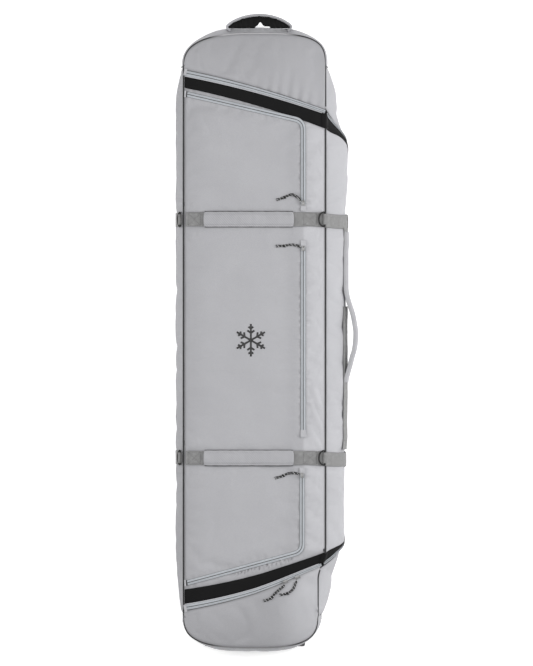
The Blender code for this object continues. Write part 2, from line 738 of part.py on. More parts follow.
def main():
    for old in list(bpy.data.objects):
        bpy.data.objects.remove(old)
    scene = bpy.context.scene
    scene.collection.children.link(MODEL)
    scene.collection.children.link(CUTTERS)
    make_base_panels()
    make_main_zip()
    make_wheel_end()
    make_base_fittings()
    make_tow_handle()
    make_lid_panels()
    make_pocket_zips()
    make_lid_fittings()
    make_side_handle()
    make_rings()
    make_sliders()
    centre_on_floor()


main()
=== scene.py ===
"""Looks of a wheeled snowboard bag: a long padded bag that lies on its back.

Design coordinates: x = 0 on the middle line, y = 0 near the middle of the length, +y to
the tow handle, +x to the side that opens, z = 0 on the floor. place_at() moves them to the
shared frame. All sizes are in metres.
"""
import json
import math
import random
import bmesh
import bpy
import numpy as np
from mathutils import Matrix, Vector
from mathutils.bvhtree import BVHTree

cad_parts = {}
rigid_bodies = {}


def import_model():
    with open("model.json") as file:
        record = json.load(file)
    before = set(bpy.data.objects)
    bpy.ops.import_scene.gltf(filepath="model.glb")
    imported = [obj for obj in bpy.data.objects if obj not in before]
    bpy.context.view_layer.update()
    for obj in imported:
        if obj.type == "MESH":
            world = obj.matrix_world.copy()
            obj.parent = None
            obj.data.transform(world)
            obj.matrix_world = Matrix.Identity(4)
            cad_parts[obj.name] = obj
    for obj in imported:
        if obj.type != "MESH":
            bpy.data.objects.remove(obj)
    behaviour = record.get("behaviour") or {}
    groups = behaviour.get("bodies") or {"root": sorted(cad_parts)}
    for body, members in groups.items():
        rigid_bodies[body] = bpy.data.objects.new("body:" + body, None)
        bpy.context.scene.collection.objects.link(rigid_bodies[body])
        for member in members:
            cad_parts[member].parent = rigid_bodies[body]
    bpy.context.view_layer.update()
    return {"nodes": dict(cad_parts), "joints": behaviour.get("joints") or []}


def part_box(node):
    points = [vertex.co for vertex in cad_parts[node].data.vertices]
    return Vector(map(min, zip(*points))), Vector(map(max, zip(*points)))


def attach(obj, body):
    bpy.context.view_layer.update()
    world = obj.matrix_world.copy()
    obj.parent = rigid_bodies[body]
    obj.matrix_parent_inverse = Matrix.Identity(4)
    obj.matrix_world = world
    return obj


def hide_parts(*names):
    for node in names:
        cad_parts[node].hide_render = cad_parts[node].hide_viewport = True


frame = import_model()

JOINTS = {joint["name"]: joint for joint in frame["joints"]}

# ---- The bag's sizes, as in the CAD --------------------------------------------------------
HALF_WIDTH = 0.196
TOP_SEAM_Y, WHEEL_SEAM_Y = 0.849, -0.855
TOP_ARC, WHEEL_ARC = 0.09, 0.089
LEFT_CORNER, RIGHT_CORNER, WHEEL_CORNER = 2.6, 3.4, 3.0
WHEEL_END_TAPER = 0.021
SEAM_HEIGHT, END_DROP, CROWN, FLAT_Y = 0.19, 0.036, 0.014, 0.58
PANEL, SEAM_GAP, FLOOR_GAP, BACK_PANEL = 0.005, 0.001, 0.01, 0.003
LEFT_BULGE, UPPER_RIGHT_BULGE, LOWER_RIGHT_BULGE = 0.0215, 0.032, 0.04
LID_BULGE, LID_FULLER = 0.054, 0.005
TOP_BULGE, WHEEL_BULGE, CORNER_BULGE, WHEEL_CORNER_BULGE = 0.016, 0.01, 0.007, 0.004
ZIP_H = 0.3
UPPER_BAND, UPPER_BAND_WIDTH = (0.73, 0.685, 0.626), (0.031, 0.034, 0.04)
LOWER_BAND, LOWER_BAND_WIDTH = (-0.734, -0.69, -0.619), (0.04, 0.035, 0.028)
ZIP_TAPE, ZIP_SPLIT, ZIP_MARGIN = 0.018, 0.002, 0.0025
UPPER_TAPE, LOWER_TAPE = (0.018, 0.015, 0.0105), (0.018, 0.014, 0.009)
UPPER_CUT_SLOPE, LOWER_CUT_SLOPE = 0.15, 0.11
STRAP_Y = (0.333, -0.328)
STRAP_WIDTH, STRAP_THICK = 0.039, 0.002
STRAP_END = 0.46
SLEEVE_LENGTH, SLEEVE_WIDTH, SLEEVE_THICK, SLEEVE_X = 0.248, 0.043, 0.009, -0.016
RING_WIDTH, RING_REACH, RING_WIRE = 0.04, 0.017, 0.0045
ZIP_LIFT, ZIP_THICK = 0.0008, 0.0016
SLIDER_LIFT = 0.0045
CORD_DIAMETER = 0.003
HOUSING_TOP = 0.088
HOUSING_FRONT_Y = WHEEL_SEAM_Y + WHEEL_ARC

hinge = JOINTS["lid_hinge"]["pos_m"]
SHIFT = Vector((hinge[0] + HALF_WIDTH, hinge[1], 0.0))


def place_at(point):
    """A design point in the shared frame."""
    return Vector(point) + SHIFT


# ---- Shape of the bag, as in the CAD ---------------------------------------------------------
def smooth(start, end, value):
    t = min(1.0, max(0.0, (value - start) / (end - start)))
    return t * t * (3.0 - 2.0 * t)


def spread(start, end, count):
    """count + 1 evenly spaced values, from start to end."""
    return [start + (end - start) * i / count for i in range(count + 1)]


def through(three, u):
    """A curve through three values: at u = -1, 0 and 1."""
    left, middle, right = three
    return middle + 0.5 * (right - left) * u + 0.5 * (right + left - 2.0 * middle) * u * u


def half_width(y, side):
    taper = WHEEL_END_TAPER * smooth(-0.585, -0.665, y) if side > 0 else 0.0
    return HALF_WIDTH - taper


def end_seam_y(u, top):
    if top:
        power = RIGHT_CORNER if u > 0 else LEFT_CORNER
        return TOP_SEAM_Y - TOP_ARC * (1.0 - max(0.0, 1.0 - abs(u) ** power) ** (1.0 / power))
    rise = 1.0 - max(0.0, 1.0 - abs(u) ** WHEEL_CORNER) ** (1.0 / WHEEL_CORNER)
    return WHEEL_SEAM_Y + WHEEL_ARC * rise


def front_z(x, y):
    """Height of the front: crowned in the middle, and falling towards both ends."""
    u = min(1.0, abs(x) / half_width(y, x))
    fade = max(0.0, abs(y) - FLAT_Y) / (TOP_SEAM_Y - FLAT_Y)
    seam = SEAM_HEIGHT - END_DROP * fade * fade
    return seam + CROWN * (1.0 - u * u) * max(0.0, 1.0 - fade * fade)


def on_front(x, y, lift=0.0):
    return Vector((x, y, front_z(x, y) + lift))


def side_bulge(y, side):
    """How far a side wall swells past its seams, which differs along the bag."""
    if side < 0:
        if y > 0:
            return CORNER_BULGE + (LEFT_BULGE - CORNER_BULGE) * smooth(0.77, 0.66, y)
        return WHEEL_CORNER_BULGE + (LEFT_BULGE - WHEEL_CORNER_BULGE) * smooth(-0.8, -0.6, y)
    if y > 0:
        end = CORNER_BULGE + (UPPER_RIGHT_BULGE - CORNER_BULGE) * smooth(0.77, 0.67, y)
    else:
        end = WHEEL_CORNER_BULGE + (LOWER_RIGHT_BULGE - WHEEL_CORNER_BULGE) * smooth(-0.83, -0.65, y)
    lid = smooth(0.635, 0.53, y) * smooth(-0.598, -0.562, y)
    fuller = smooth(-0.4, -0.15, y) + smooth(0.36, 0.46, y)
    return end + (LID_BULGE + LID_FULLER * fuller - end) * lid


def side_point(y, h, side):
    """A point of a side wall: h is 0 at the back seam and 1 at the front seam."""
    seam_x = half_width(y, side)
    low = FLOOR_GAP + BACK_PANEL + SEAM_GAP
    high = front_z(seam_x, y) - PANEL - 2.5 * SEAM_GAP
    x = seam_x + side_bulge(y, side) * math.sin(math.pi * h)
    return Vector((side * x, y, low + (high - low) * h))


def end_plan(u, top):
    y = end_seam_y(u, top)
    return Vector((u * half_width(y, u), y, 0.0))


def end_point(u, h, top, low):
    """A point of an end wall: u runs -1 to 1 round it, and h from low up to the front seam."""
    here = end_plan(u, top)
    nearby = 0.01 if u < 0 else -0.01
    along = end_plan(u + nearby, top) - here
    outward = Vector((-along.y, along.x, 0.0)).normalized()
    if (outward.y > 0) != top:
        outward = -outward
    corner = side_bulge(here.y, u)
    middle = TOP_BULGE if top else WHEEL_BULGE
    bulge = corner + (middle - corner) * smooth(1.0, 0.45, abs(u))
    high = front_z(here.x, here.y) - PANEL - 2.5 * SEAM_GAP
    floor = FLOOR_GAP + BACK_PANEL + SEAM_GAP
    z = low + (high - low) * h
    here += outward * bulge * math.sin(math.pi * (z - floor) / (high - floor))
    here.z = z
    return here


def widen(v):
    return math.sin(math.pi * (v - 0.5))


def band_top(u):
    return through(UPPER_BAND, u)


def band_bottom(u):
    return through(LOWER_BAND, u)


def upper_cut(h):
    return UPPER_BAND[2] - UPPER_CUT_SLOPE * (1.0 - h)


def lower_cut(h):
    return LOWER_BAND[2] + LOWER_CUT_SLOPE * (1.0 - h)


# ---- Materials -------------------------------------------------------------------------------
class Nodes:
    """A node tree under construction, with short calls for the nodes that are used here."""

    def __init__(self, name):
        self.material = bpy.data.materials.new(name)
        self.material.use_nodes = True
        self.tree = self.material.node_tree
        self.shader = self.tree.nodes["Principled BSDF"]

    def add(self, kind, **sockets):
        node = self.tree.nodes.new(kind)
        for key, value in sockets.items():
            self.feed(node, key, value)
        return node

    def feed(self, node, key, value):
        """Sets a socket, named by its label or as i and its number, to a value or another socket."""
        socket = node.inputs[int(key[1:])] if key[0] == "i" and key[1:].isdigit() else node.inputs[key]
        if isinstance(value, bpy.types.NodeSocket):
            self.tree.links.new(value, socket)
        else:
            socket.default_value = value

    def math(self, operation, a, b=0.0):
        node = self.add("ShaderNodeMath", i0=a, i1=b)
        node.operation = operation
        return node.outputs[0]

    def vector(self, operation, a, b):
        node = self.add("ShaderNodeVectorMath", i0=a, i1=b)
        node.operation = operation
        return node.outputs[0]

    def mix(self, share, a, b):
        node = self.tree.nodes.new("ShaderNodeMix")
        node.data_type = "RGBA"
        for key, item in (("i0", share), ("i6", a), ("i7", b)):
            self.feed(node, key, item)
        return node.outputs[2]

    def ramp(self, value, low, high, to_low=0.0, to_high=1.0):
        node = self.tree.nodes.new("ShaderNodeMapRange")
        for key, item in (("Value", value), ("From Min", low), ("From Max", high),
                          ("To Min", to_low), ("To Max", to_high)):
            self.feed(node, key, item)
        return node.outputs[0]

    def noise(self, where, scale, detail=3.0, rough=0.55):
        node = self.add("ShaderNodeTexNoise", Vector=where, Scale=scale, Detail=detail, Roughness=rough)
        return node.outputs[0]

    def place(self):
        """Place in metres: the piece's own coordinates, which are the shared frame's."""
        return self.tree.nodes.new("ShaderNodeTexCoord").outputs["Object"]

    def cloth_place(self):
        """Place on the cloth in metres, from the layer that grid_mesh() and sweep() make."""
        node = self.tree.nodes.new("ShaderNodeUVMap")
        node.uv_map = "cloth"
        return node.outputs[0]

    def split(self, where):
        node = self.add("ShaderNodeSeparateXYZ", i0=where)
        return node.outputs[0], node.outputs[1], node.outputs[2]

    def waves(self, value, pitch, phase=0.0):
        """0..1 along value, once every pitch metres."""
        turns = self.math("MULTIPLY_ADD", value, 2.0 * math.pi / pitch)
        turns.node.inputs[2].default_value = phase
        sine = self.math("SINE", turns)
        return self.ramp(sine, -1.0, 1.0)

    def bump(self, height, distance, strength=1.0, under=None):
        node = self.add("ShaderNodeBump", Height=height, Distance=distance, Strength=strength)
        if under is not None:
            self.tree.links.new(under, node.inputs["Normal"])
        return node.outputs[0]

    def finish(self, colour, roughness, normal=None, **more):
        self.feed(self.shader, "Base Color", colour)
        self.feed(self.shader, "Roughness", roughness)
        if normal is not None:
            self.feed(self.shader, "Normal", normal)
        for key, value in more.items():
            self.feed(self.shader, key.replace("_", " "), value)
        return self.material


def grey(level, tint=(1.0, 1.0, 1.0)):
    return (level * tint[0], level * tint[1], level * tint[2], 1.0)


COOL = (0.985, 0.985, 1.03)
BLUE = (0.945, 0.995, 1.06)


def twill(name, level, tint=COOL, pitch=0.0017, contrast=0.16, roughness=0.82, with_painted_shading=False, shine=0.3):
    """Woven twill: diagonal ribs with slubs, soft stains and a little wear."""
    n = Nodes(name)
    cloth = n.cloth_place()
    x, y, _ = n.split(cloth)
    ribs = n.waves(n.math("ADD", x, n.math("MULTIPLY", y, 0.8)), pitch)
    yarns = n.waves(n.math("SUBTRACT", x, n.math("MULTIPLY", y, 1.2)), pitch * 0.61)
    stretch = n.add("ShaderNodeMapping", Vector=cloth, Rotation=(0.0, 0.0, 0.66), Scale=(1.0, 5.0, 1.0))
    slubs = n.noise(stretch.outputs[0], 160.0, 2.0)
    weave = n.math("ADD", n.math("MULTIPLY", ribs, 0.65), n.math("MULTIPLY", yarns, 0.35))
    soft = n.noise(n.place(), 9.0, 3.0)
    fine = n.noise(n.place(), 70.0, 3.0)
    dark = grey(level * (1.0 - contrast), tint)
    light = grey(level * (1.0 + contrast * 0.75), tint)
    colour = n.mix(n.ramp(weave, 0.1, 0.9), dark, light)
    colour = n.mix(n.ramp(slubs, 0.35, 0.75, 0.0, 0.35), colour, grey(level * 1.16, tint))
    colour = n.mix(n.ramp(soft, 0.35, 0.7, 0.0, 0.3), colour, grey(level * 0.88, tint))
    colour = n.mix(n.ramp(fine, 0.62, 0.8, 0.0, 0.22), colour, grey(level * 1.2, tint))
    relief = n.bump(weave, 0.00022, 0.8)
    relief = n.bump(fine, 0.0009, 0.35, relief)
    rough = n.ramp(soft, 0.3, 0.7, roughness - 0.06, roughness + 0.06)
    # painted light and shade: the colour is multiplied by the value stored on each point of the piece
    if with_painted_shading:
        tone = n.tree.nodes.new("ShaderNodeAttribute")
        tone.attribute_name = "tone"
        colour = n.vector("MULTIPLY", colour, tone.outputs["Color"])
    return n.finish(colour, rough, relief, Specular_IOR_Level=shine)


# ---- Cloth and mesh tools --------------------------------------------------------------------
def new_object(name, mesh, *materials):
    piece = bpy.data.objects.new(name, mesh)
    bpy.context.scene.collection.objects.link(piece)
    for material in materials:
        mesh.materials.append(material)
    return piece


def grid_points(surface, columns, rows):
    """surface(u, v) sampled on a grid, in the shared frame: an array of rows x columns x 3."""
    points = np.empty((rows + 1, columns + 1, 3))
    for j in range(rows + 1):
        for i in range(columns + 1):
            points[j, i] = place_at(surface(i / columns, j / rows))
    return points


def grid_mesh(name, points):
    """A sheet through the grid of points, with its cloth coordinates in metres."""
    rows, columns = points.shape[0] - 1, points.shape[1] - 1
    index = np.arange((rows + 1) * (columns + 1)).reshape(rows + 1, columns + 1)
    faces = np.stack([index[:-1, :-1], index[:-1, 1:], index[1:, 1:], index[1:, :-1]], -1).reshape(-1, 4)
    mesh = bpy.data.meshes.new(name)
    mesh.from_pydata(points.reshape(-1, 3).tolist(), [], faces.tolist())
    across = np.zeros(points.shape[:2])
    along = np.zeros(points.shape[:2])
    across[:, 1:] = np.cumsum(np.linalg.norm(np.diff(points, axis=1), axis=2), axis=1)
    along[1:] = np.cumsum(np.linalg.norm(np.diff(points, axis=0), axis=2), axis=0)
    near = np.minimum(np.minimum(across, across[:, -1:] - across), np.minimum(along, along[-1:] - along))
    layer = mesh.attributes.new("near", "FLOAT", "POINT")
    layer.data.foreach_set("value", near.ravel().astype(np.float32))
    across = across - across[:, -1:] / 2.0
    along = along - along[-1:] / 2.0
    layer = mesh.uv_layers.new(name="cloth")
    place = np.stack([across.ravel(), along.ravel()], -1)[faces.ravel()]
    layer.data.foreach_set("uv", place.ravel())
    return mesh


def coordinates(mesh):
    values = np.empty(len(mesh.vertices) * 3)
    mesh.vertices.foreach_get("co", values)
    return values.reshape(-1, 3)


def set_coordinates(mesh, values):
    mesh.vertices.foreach_set("co", values.ravel())
    mesh.update()


def normals(mesh):
    values = np.empty(len(mesh.vertices) * 3, np.float32)
    mesh.vertex_normals.foreach_get("vector", values)
    return values.reshape(-1, 3).astype(float)


def apply_modifiers(piece):
    """Makes the modified mesh the piece's own."""
    seen = piece.evaluated_get(bpy.context.evaluated_depsgraph_get())
    mesh = bpy.data.meshes.new_from_object(seen)
    old = piece.data
    piece.modifiers.clear()
    piece.data = mesh
    mesh.name = piece.name
    bpy.data.meshes.remove(old)


CLOTH_MASS, CLOTH_STRETCH, CLOTH_SHEAR, CLOTH_BENDING, CLOTH_AIR = 0.25, 18.0, 8.0, 0.35, 4.0
SETTLE_STEPS = 20


def settle(piece, held, slack, pressure, cap, ripple):
    """Fills the cloth like a padded panel: it starts rippled and is sewn down where held is 1."""
    mesh = piece.data
    start = coordinates(mesh)
    set_coordinates(mesh, start + normals(mesh) * ripple[:, None])
    group = piece.vertex_groups.new(name="held")
    for index, weight in enumerate(held):
        if weight > 0.001:
            group.add([index], float(min(1.0, weight)), "REPLACE")
    cloth = piece.modifiers.new("cloth", "CLOTH")
    settings = cloth.settings
    settings.vertex_group_mass = "held"
    settings.quality = 5
    settings.mass = CLOTH_MASS
    settings.tension_stiffness = settings.compression_stiffness = CLOTH_STRETCH
    settings.shear_stiffness = CLOTH_SHEAR
    settings.bending_stiffness = CLOTH_BENDING
    settings.air_damping = CLOTH_AIR
    settings.shrink_min = -slack
    settings.use_pressure = True
    settings.uniform_pressure_force = pressure
    settings.effector_weights.gravity = 0.0
    cloth.collision_settings.use_collision = False
    scene = bpy.context.scene
    for moment in range(1, SETTLE_STEPS + 1):
        scene.frame_set(moment)
    seen = piece.evaluated_get(bpy.context.evaluated_depsgraph_get())
    moved = coordinates(seen.data) - start
    piece.modifiers.clear()
    piece.vertex_groups.clear()
    size = np.linalg.norm(moved, axis=1)
    share = cap * np.tanh(size / cap) / np.maximum(size, 1e-9)
    set_coordinates(mesh, start + moved * share[:, None])
    scene.frame_set(1)


def refine(piece):
    cut = piece.modifiers.new("refine", "SUBSURF")
    cut.levels = cut.render_levels = 1
    cut.boundary_smooth = "PRESERVE_CORNERS"
    apply_modifiers(piece)


class Spots:
    """Every point of a cloth piece: x, y, z in design metres, cloth places, distance to an edge."""

    def __init__(self, mesh):
        self.x, self.y, self.z = (coordinates(mesh) - np.array(SHIFT)).T
        flat = np.zeros((len(self.x), 2))
        loops = np.empty(len(mesh.loops), np.int32)
        mesh.loops.foreach_get("vertex_index", loops)
        layer = np.empty(len(mesh.loops) * 2, np.float32)
        mesh.uv_layers["cloth"].data.foreach_get("uv", layer)
        flat[loops] = layer.reshape(-1, 2)
        self.across, self.along = flat.T
        self.near = np.empty(len(self.x), np.float32)
        mesh.attributes["near"].data.foreach_get("value", self.near)


def emboss(piece, relief):
    """Moves each point along its normal by relief(spots), in metres."""
    mesh = piece.data
    lift = np.asarray(relief(Spots(mesh)))
    set_coordinates(mesh, coordinates(mesh) + normals(mesh) * lift[:, None])


def thicken(piece, thickness, inner_material=0):
    """Gives cloth its thickness, inwards; the inside takes the material of that slot."""
    solid = piece.modifiers.new("thicken", "SOLIDIFY")
    solid.thickness = thickness
    solid.offset = -1.0
    solid.material_offset = inner_material
    solid.material_offset_rim = 0
    apply_modifiers(piece)
    piece.data.shade_smooth()
    piece.data.set_sharp_from_angle(angle=math.radians(50))


def bell(value, centre, width, power=2):
    """1 at the centre, falling to 0 on both sides; a higher power has a flatter top."""
    return np.exp(-((value - centre) / width) ** power)


def beside(x, y, start, end):
    """How far along and how far beside a line each point lies, and the line's length."""
    (ax, ay), (bx, by) = start, end
    dx, dy = bx - ax, by - ay
    length = math.hypot(dx, dy)
    return ((x - ax) * dx + (y - ay) * dy) / length, ((x - ax) * dy - (y - ay) * dx) / length, length


def fold(x, y, start, end, width, height):
    """A soft fold or pucker along a short line; a negative height is a crease."""
    along, off, length = beside(x, y, start, end)
    ends = np.clip(1.0 - (2.0 * along / length - 1.0) ** 2, 0.0, 1.0)
    return height * ends * bell(off, 0.0, width)


def cloud(x, y, z, scale, seed):
    """Smooth random waves, -1..1, the same each run."""
    total = np.zeros_like(x)
    source = random.Random(seed)
    for _ in range(14):
        angle = source.uniform(0.0, 2.0 * math.pi)
        tilt = source.uniform(-0.5, 0.5)
        wave = source.uniform(0.6, 1.7) * 2.0 * math.pi / scale
        total += np.sin(wave * (x * math.cos(angle) + y * math.sin(angle) + z * tilt)
                        + source.uniform(0.0, 6.3))
    return total / 14.0 * 2.0


def made_mesh(name, made, sharp=None):
    """The mesh of a finished bmesh, smooth except at edges sharper than the angle in degrees."""
    bmesh.ops.recalc_face_normals(made, faces=made.faces)
    mesh = bpy.data.meshes.new(name)
    made.to_mesh(mesh)
    made.free()
    if sharp is not None:
        mesh.shade_smooth()
        mesh.set_sharp_from_angle(angle=math.radians(sharp))
    return mesh


def bridge_rings(made, rings, closed=False):
    """Walls between rings of points; without closed, the two end rings are capped."""
    for low, high in list(zip(rings, rings[1:])) + ([(rings[-1], rings[0])] if closed else []):
        for k in range(len(low)):
            n = (k + 1) % len(low)
            made.faces.new((low[k], low[n], high[n], high[k]))
    if not closed:
        made.faces.new(rings[0][::-1])
        made.faces.new(rings[-1])


def tube_mesh(name, path, radius, sides=8, closed=False, flat=1.0):
    """A round tube through the points, capped unless it is closed."""
    path = [Vector(p) for p in path]
    count = len(path)
    made = bmesh.new()
    rings = []
    side = None
    for i, point in enumerate(path):
        before = path[i - 1] if i > 0 or closed else path[i]
        after = path[(i + 1) % count] if i < count - 1 or closed else path[i]
        along = (after - before).normalized()
        if side is None:
            side = along.orthogonal().normalized()
            if abs(along.z) < 0.9:
                side = along.cross(Vector((0.0, 0.0, 1.0))).normalized()
        side = (side - along * side.dot(along)).normalized()
        up = side.cross(along).normalized()
        r = radius(i / max(1, count - 1)) if callable(radius) else radius
        rings.append([made.verts.new(point + (side * math.cos(a) + up * math.sin(a) * flat) * r)
                      for a in (2.0 * math.pi * k / sides for k in range(sides))])
    bridge_rings(made, rings, closed)
    mesh = made_mesh(name, made)
    mesh.shade_smooth()
    return mesh


def join_meshes(name, meshes):
    made = bmesh.new()
    for mesh in meshes:
        made.from_mesh(mesh)
        bpy.data.meshes.remove(mesh)
    mesh = bpy.data.meshes.new(name)
    made.to_mesh(mesh)
    made.free()
    return mesh


def resample(path, step):
    """Points a step apart along the path, with the distance along it."""
    points = [Vector(p) for p in path]
    lengths = [0.0]
    for a, b in zip(points, points[1:]):
        lengths.append(lengths[-1] + (b - a).length)
    count = max(2, round(lengths[-1] / step) + 1)
    made = []
    for k in range(count):
        target = lengths[-1] * k / (count - 1)
        index = min(len(points) - 2, max(0, np.searchsorted(lengths, target) - 1))
        span = max(1e-9, lengths[index + 1] - lengths[index])
        made.append(points[index].lerp(points[index + 1], (target - lengths[index]) / span))
    return made


def smooth_route(points, per_span):
    """A smooth curve through all the points."""
    knots = [Vector(p) for p in points]
    knots = [2.0 * knots[0] - knots[1], *knots, 2.0 * knots[-1] - knots[-2]]
    route = []
    for a, b, c, d in zip(knots, knots[1:], knots[2:], knots[3:]):
        for step in range(per_span):
            t = step / per_span
            route.append(0.5 * (2 * b + (c - a) * t + (2 * a - 5 * b + 4 * c - d) * t * t
                                + (3 * b - a - 3 * c + d) * t ** 3))
    return [*route, knots[-2]]


def surface_of(names):
    """The cloth of some finished pieces, for finding its height."""
    spots, faces = [], []
    for name in names:
        mesh = bpy.data.objects[name].data
        start = len(spots)
        spots += [v.co.copy() for v in mesh.vertices]
        faces += [[start + i for i in face.vertices] for face in mesh.polygons]
    return BVHTree.FromPolygons(spots, faces)


# ---- Materials of the bag --------------------------------------------------------------------
SHELL = twill("shell_twill", 0.325, with_painted_shading=True)
# A lighter copy of the shell twill: a painted highlight for the rolled edges beside the black bands.
SHELL_HIGHLIGHT = twill("painted_highlight_lip", 0.45)
BLACK_CLOTH = twill("black_twill", 0.0055, (1.0, 1.0, 1.05), contrast=0.45, roughness=0.8, shine=0.12)
LINING = twill("lining", 0.055, (1.0, 1.0, 1.04), pitch=0.0012, contrast=0.25)
INNER_FOAM = twill("padding", 0.09, (1.0, 1.0, 1.02), pitch=0.0024, contrast=0.2, roughness=0.9)


CLOTH_THICK = PANEL - 0.0006


def cloth_piece(name, points, body, material, nodes=(), inner=None):
    piece = new_object(name, grid_mesh(name, points), material, *((inner,) if inner else ()))
    for node in nodes:
        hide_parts(node)
    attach(piece, body)
    return piece


def set_painted_shading(piece, tone):
    """Stores the painted light and shade at each point: 1 is the cloth's own colour, more is a painted
    highlight, less is painted shade.
    """
    at = Spots(piece.data)
    shade = np.ones(len(at.x)) if tone is None else np.asarray(tone(at)) * np.ones(len(at.x))
    # painted shade: the cloth is painted darker within a few millimetres of every border, where it dips into
    # its seam
    shade = shade * (1.0 - 0.16 * bell(at.near, 0.0, 0.004))
    layer = piece.data.attributes.new("tone", "FLOAT", "POINT")
    layer.data.foreach_set("value", shade.astype(np.float32))


def step(value, start, end):
    """0 before start and 1 after end, with a soft change between."""
    t = np.clip((value - start) / (end - start), 0.0, 1.0)
    return t * t * (3.0 - 2.0 * t)


def padded_panel(name, surface, columns, rows, body, nodes, relief, held=None, slack=0.012,
                 pressure=1.2, cap=0.007, seed=1, tone=None):
    """One padded panel: cloth sewn down at its borders, filled, with its own folds and lining."""
    piece = cloth_piece(name, grid_points(surface, columns, rows), body, SHELL, nodes, inner=LINING)
    at = Spots(piece.data)
    sewn = bell(at.near, 0.0, 0.009)
    if held is not None:
        sewn = np.maximum(sewn, held(at))
    ripple = cloud(at.x, at.y, at.z, 0.09, seed) * 0.0008 * (1.0 - sewn)
    settle(piece, sewn, slack, pressure, cap, ripple)
    refine(piece)
    emboss(piece, lambda at: relief(at) - 0.0026 * bell(at.near, 0.0, 0.0055, 1.5))
    set_painted_shading(piece, tone)
    thicken(piece, CLOTH_THICK, 1)


def nearby_line(at, line, width):
    """1 on a polyline over the front, falling to 0 beside it."""
    best = np.full(len(at.x), 1.0)
    for start, end in zip(line, line[1:]):
        along, off, length = beside(at.x, at.y, start, end)
        best = np.minimum(best, np.hypot(along - np.clip(along, 0.0, length), off))
    return bell(best, 0.0, width)


POCKET_ZIPS = {
    "upper_pocket": [(-0.187, 0.68), (0.135, 0.605), (0.135, 0.356)],
    "centre_pocket": [(0.135, 0.274), (0.135, -0.272)],
    "lower_pocket": [(-0.186, -0.6745), (0.132, -0.588), (0.132, -0.356)],
}
POCKET_CORNER = 0.03


def sewn_front(at):
    """Where the lid's front is sewn down: under its zips and straps."""
    sewn = np.zeros(len(at.x))
    for line in POCKET_ZIPS.values():
        sewn = np.maximum(sewn, nearby_line(at, line, 0.011))
    for y in STRAP_Y:
        sewn = np.maximum(sewn, 0.9 * bell(at.y, y, 0.016, 4))
    return sewn


def lid_front(u, v):
    across = widen(u)
    low = band_bottom(across) + through(LOWER_BAND_WIDTH, across) + SEAM_GAP
    high = band_top(across) - through(UPPER_BAND_WIDTH, across) - SEAM_GAP
    y = low + (high - low) * v
    return on_front(across * (half_width(y, across) - 0.0015), y)


# Folds of the lid's front, listed one by one: (start, end, width, height).
LID_FOLDS = (
    ((0.16, -0.12), (0.185, -0.2), 0.01, 0.0022),
    ((0.15, -0.165), (0.186, -0.25), 0.009, 0.002),
    ((0.146, -0.24), (0.185, -0.3), 0.009, 0.0018),
    ((0.15, 0.07), (0.187, 0.01), 0.01, 0.0013),
    ((0.148, 0.2), (0.182, 0.16), 0.009, 0.0012),
    ((0.11, 0.56), (0.06, 0.5), 0.016, 0.0016),
    ((-0.175, 0.64), (-0.13, 0.56), 0.015, 0.0015),
    ((-0.11, 0.64), (-0.08, 0.52), 0.018, 0.0012),
    ((0.118, -0.54), (0.07, -0.47), 0.016, 0.0016),
    ((-0.02, -0.61), (0.0, -0.52), 0.014, 0.0014),
    ((-0.15, -0.6), (-0.12, -0.5), 0.016, 0.0013),
    ((-0.185, 0.3), (-0.14, 0.24), 0.012, 0.0012),
    ((-0.185, -0.3), (-0.13, -0.25), 0.013, 0.0012),
    ((0.02, 0.31), (0.06, 0.22), 0.014, 0.001),
    ((-0.06, -0.35), (-0.08, -0.43), 0.014, 0.0012),
    ((0.07, -0.35), (0.09, -0.42), 0.012, 0.001),
)


def lid_relief(at):
    """Folds and puckers of the lid's front."""
    x, y = at.x, at.y
    lift = cloud(x, y, at.z, 0.16, 11) * 0.0007 + cloud(x, y, at.z, 0.055, 12) * 0.0003
    for spot in POCKET_ZIPS.values():
        for a, b in zip(spot, spot[1:]):
            lift = lift + puckers(x, y, a, b, 0.03, 0.0009)
    lift = lift + puckers(x, y, (-0.055, -0.6388), (0.1, -0.5967), 0.0105, 0.0026, 1.0)
    lift = lift + puckers(x, y, (0.02, 0.6318), (0.108, 0.6113), 0.011, 0.0016, -1.0)
    for start, end, width, height in LID_FOLDS:
        height *= 1.5 if start[0] > 0.14 else 1.15
        lift = lift + fold(x, y, start, end, width, height)
        lift = lift - fold(x - width, y, start, end, width * 0.6, height * 0.6)
    for strap in STRAP_Y:
        lift = lift - 0.0014 * bell(y, strap, 0.021, 6)
        for dx in (-0.165, -0.15, 0.112, 0.165, 0.178):
            for side in (-1.0, 1.0):
                start, end = (dx, strap + side * 0.02), (dx - 0.012, strap + side * 0.062)
                lift = lift + fold(x, y, start, end, 0.006, 0.001)
    return lift


def puckers(x, y, start, end, pitch, height, side=0.0):
    """Small gathers beside a sewn line, fading 12 mm away from it; side 1 or -1 keeps one side only."""
    t, off, length = beside(x, y, start, end)
    off = off * side if side else np.abs(off)
    inside = (t > 0.0) & (t < length)
    turns = 2.0 * math.pi * t / pitch
    wave = np.sin(turns + 3.0 * np.sin(t * 31.0)) + 0.5 * np.sin(turns * 1.7)
    return np.where(inside, wave * height * bell(off, 0.013, 0.008), 0.0)


def lid_painted_shading(at):
    """Painted light and shade: lighter beyond the pocket zips, a little darker to the left and beside the zips.
    """
    inside = step(at.y, -0.6, -0.57) * (1.0 - step(at.y, 0.585, 0.615))
    right = step(at.x, 0.132, 0.14) * inside
    beside = bell(at.x, 0.108, 0.022) * inside
    return 1.0 + 0.2 * right - 0.07 * (1.0 - right) * beside - 0.05 * (1.0 - step(at.x, -0.19, -0.12))


padded_panel("lid_front_panel", lid_front, 66, 190, "lid", ["lid_panel"], lid_relief, sewn_front,
             slack=0.01, pressure=1.0, cap=0.006, seed=3, tone=lid_painted_shading)


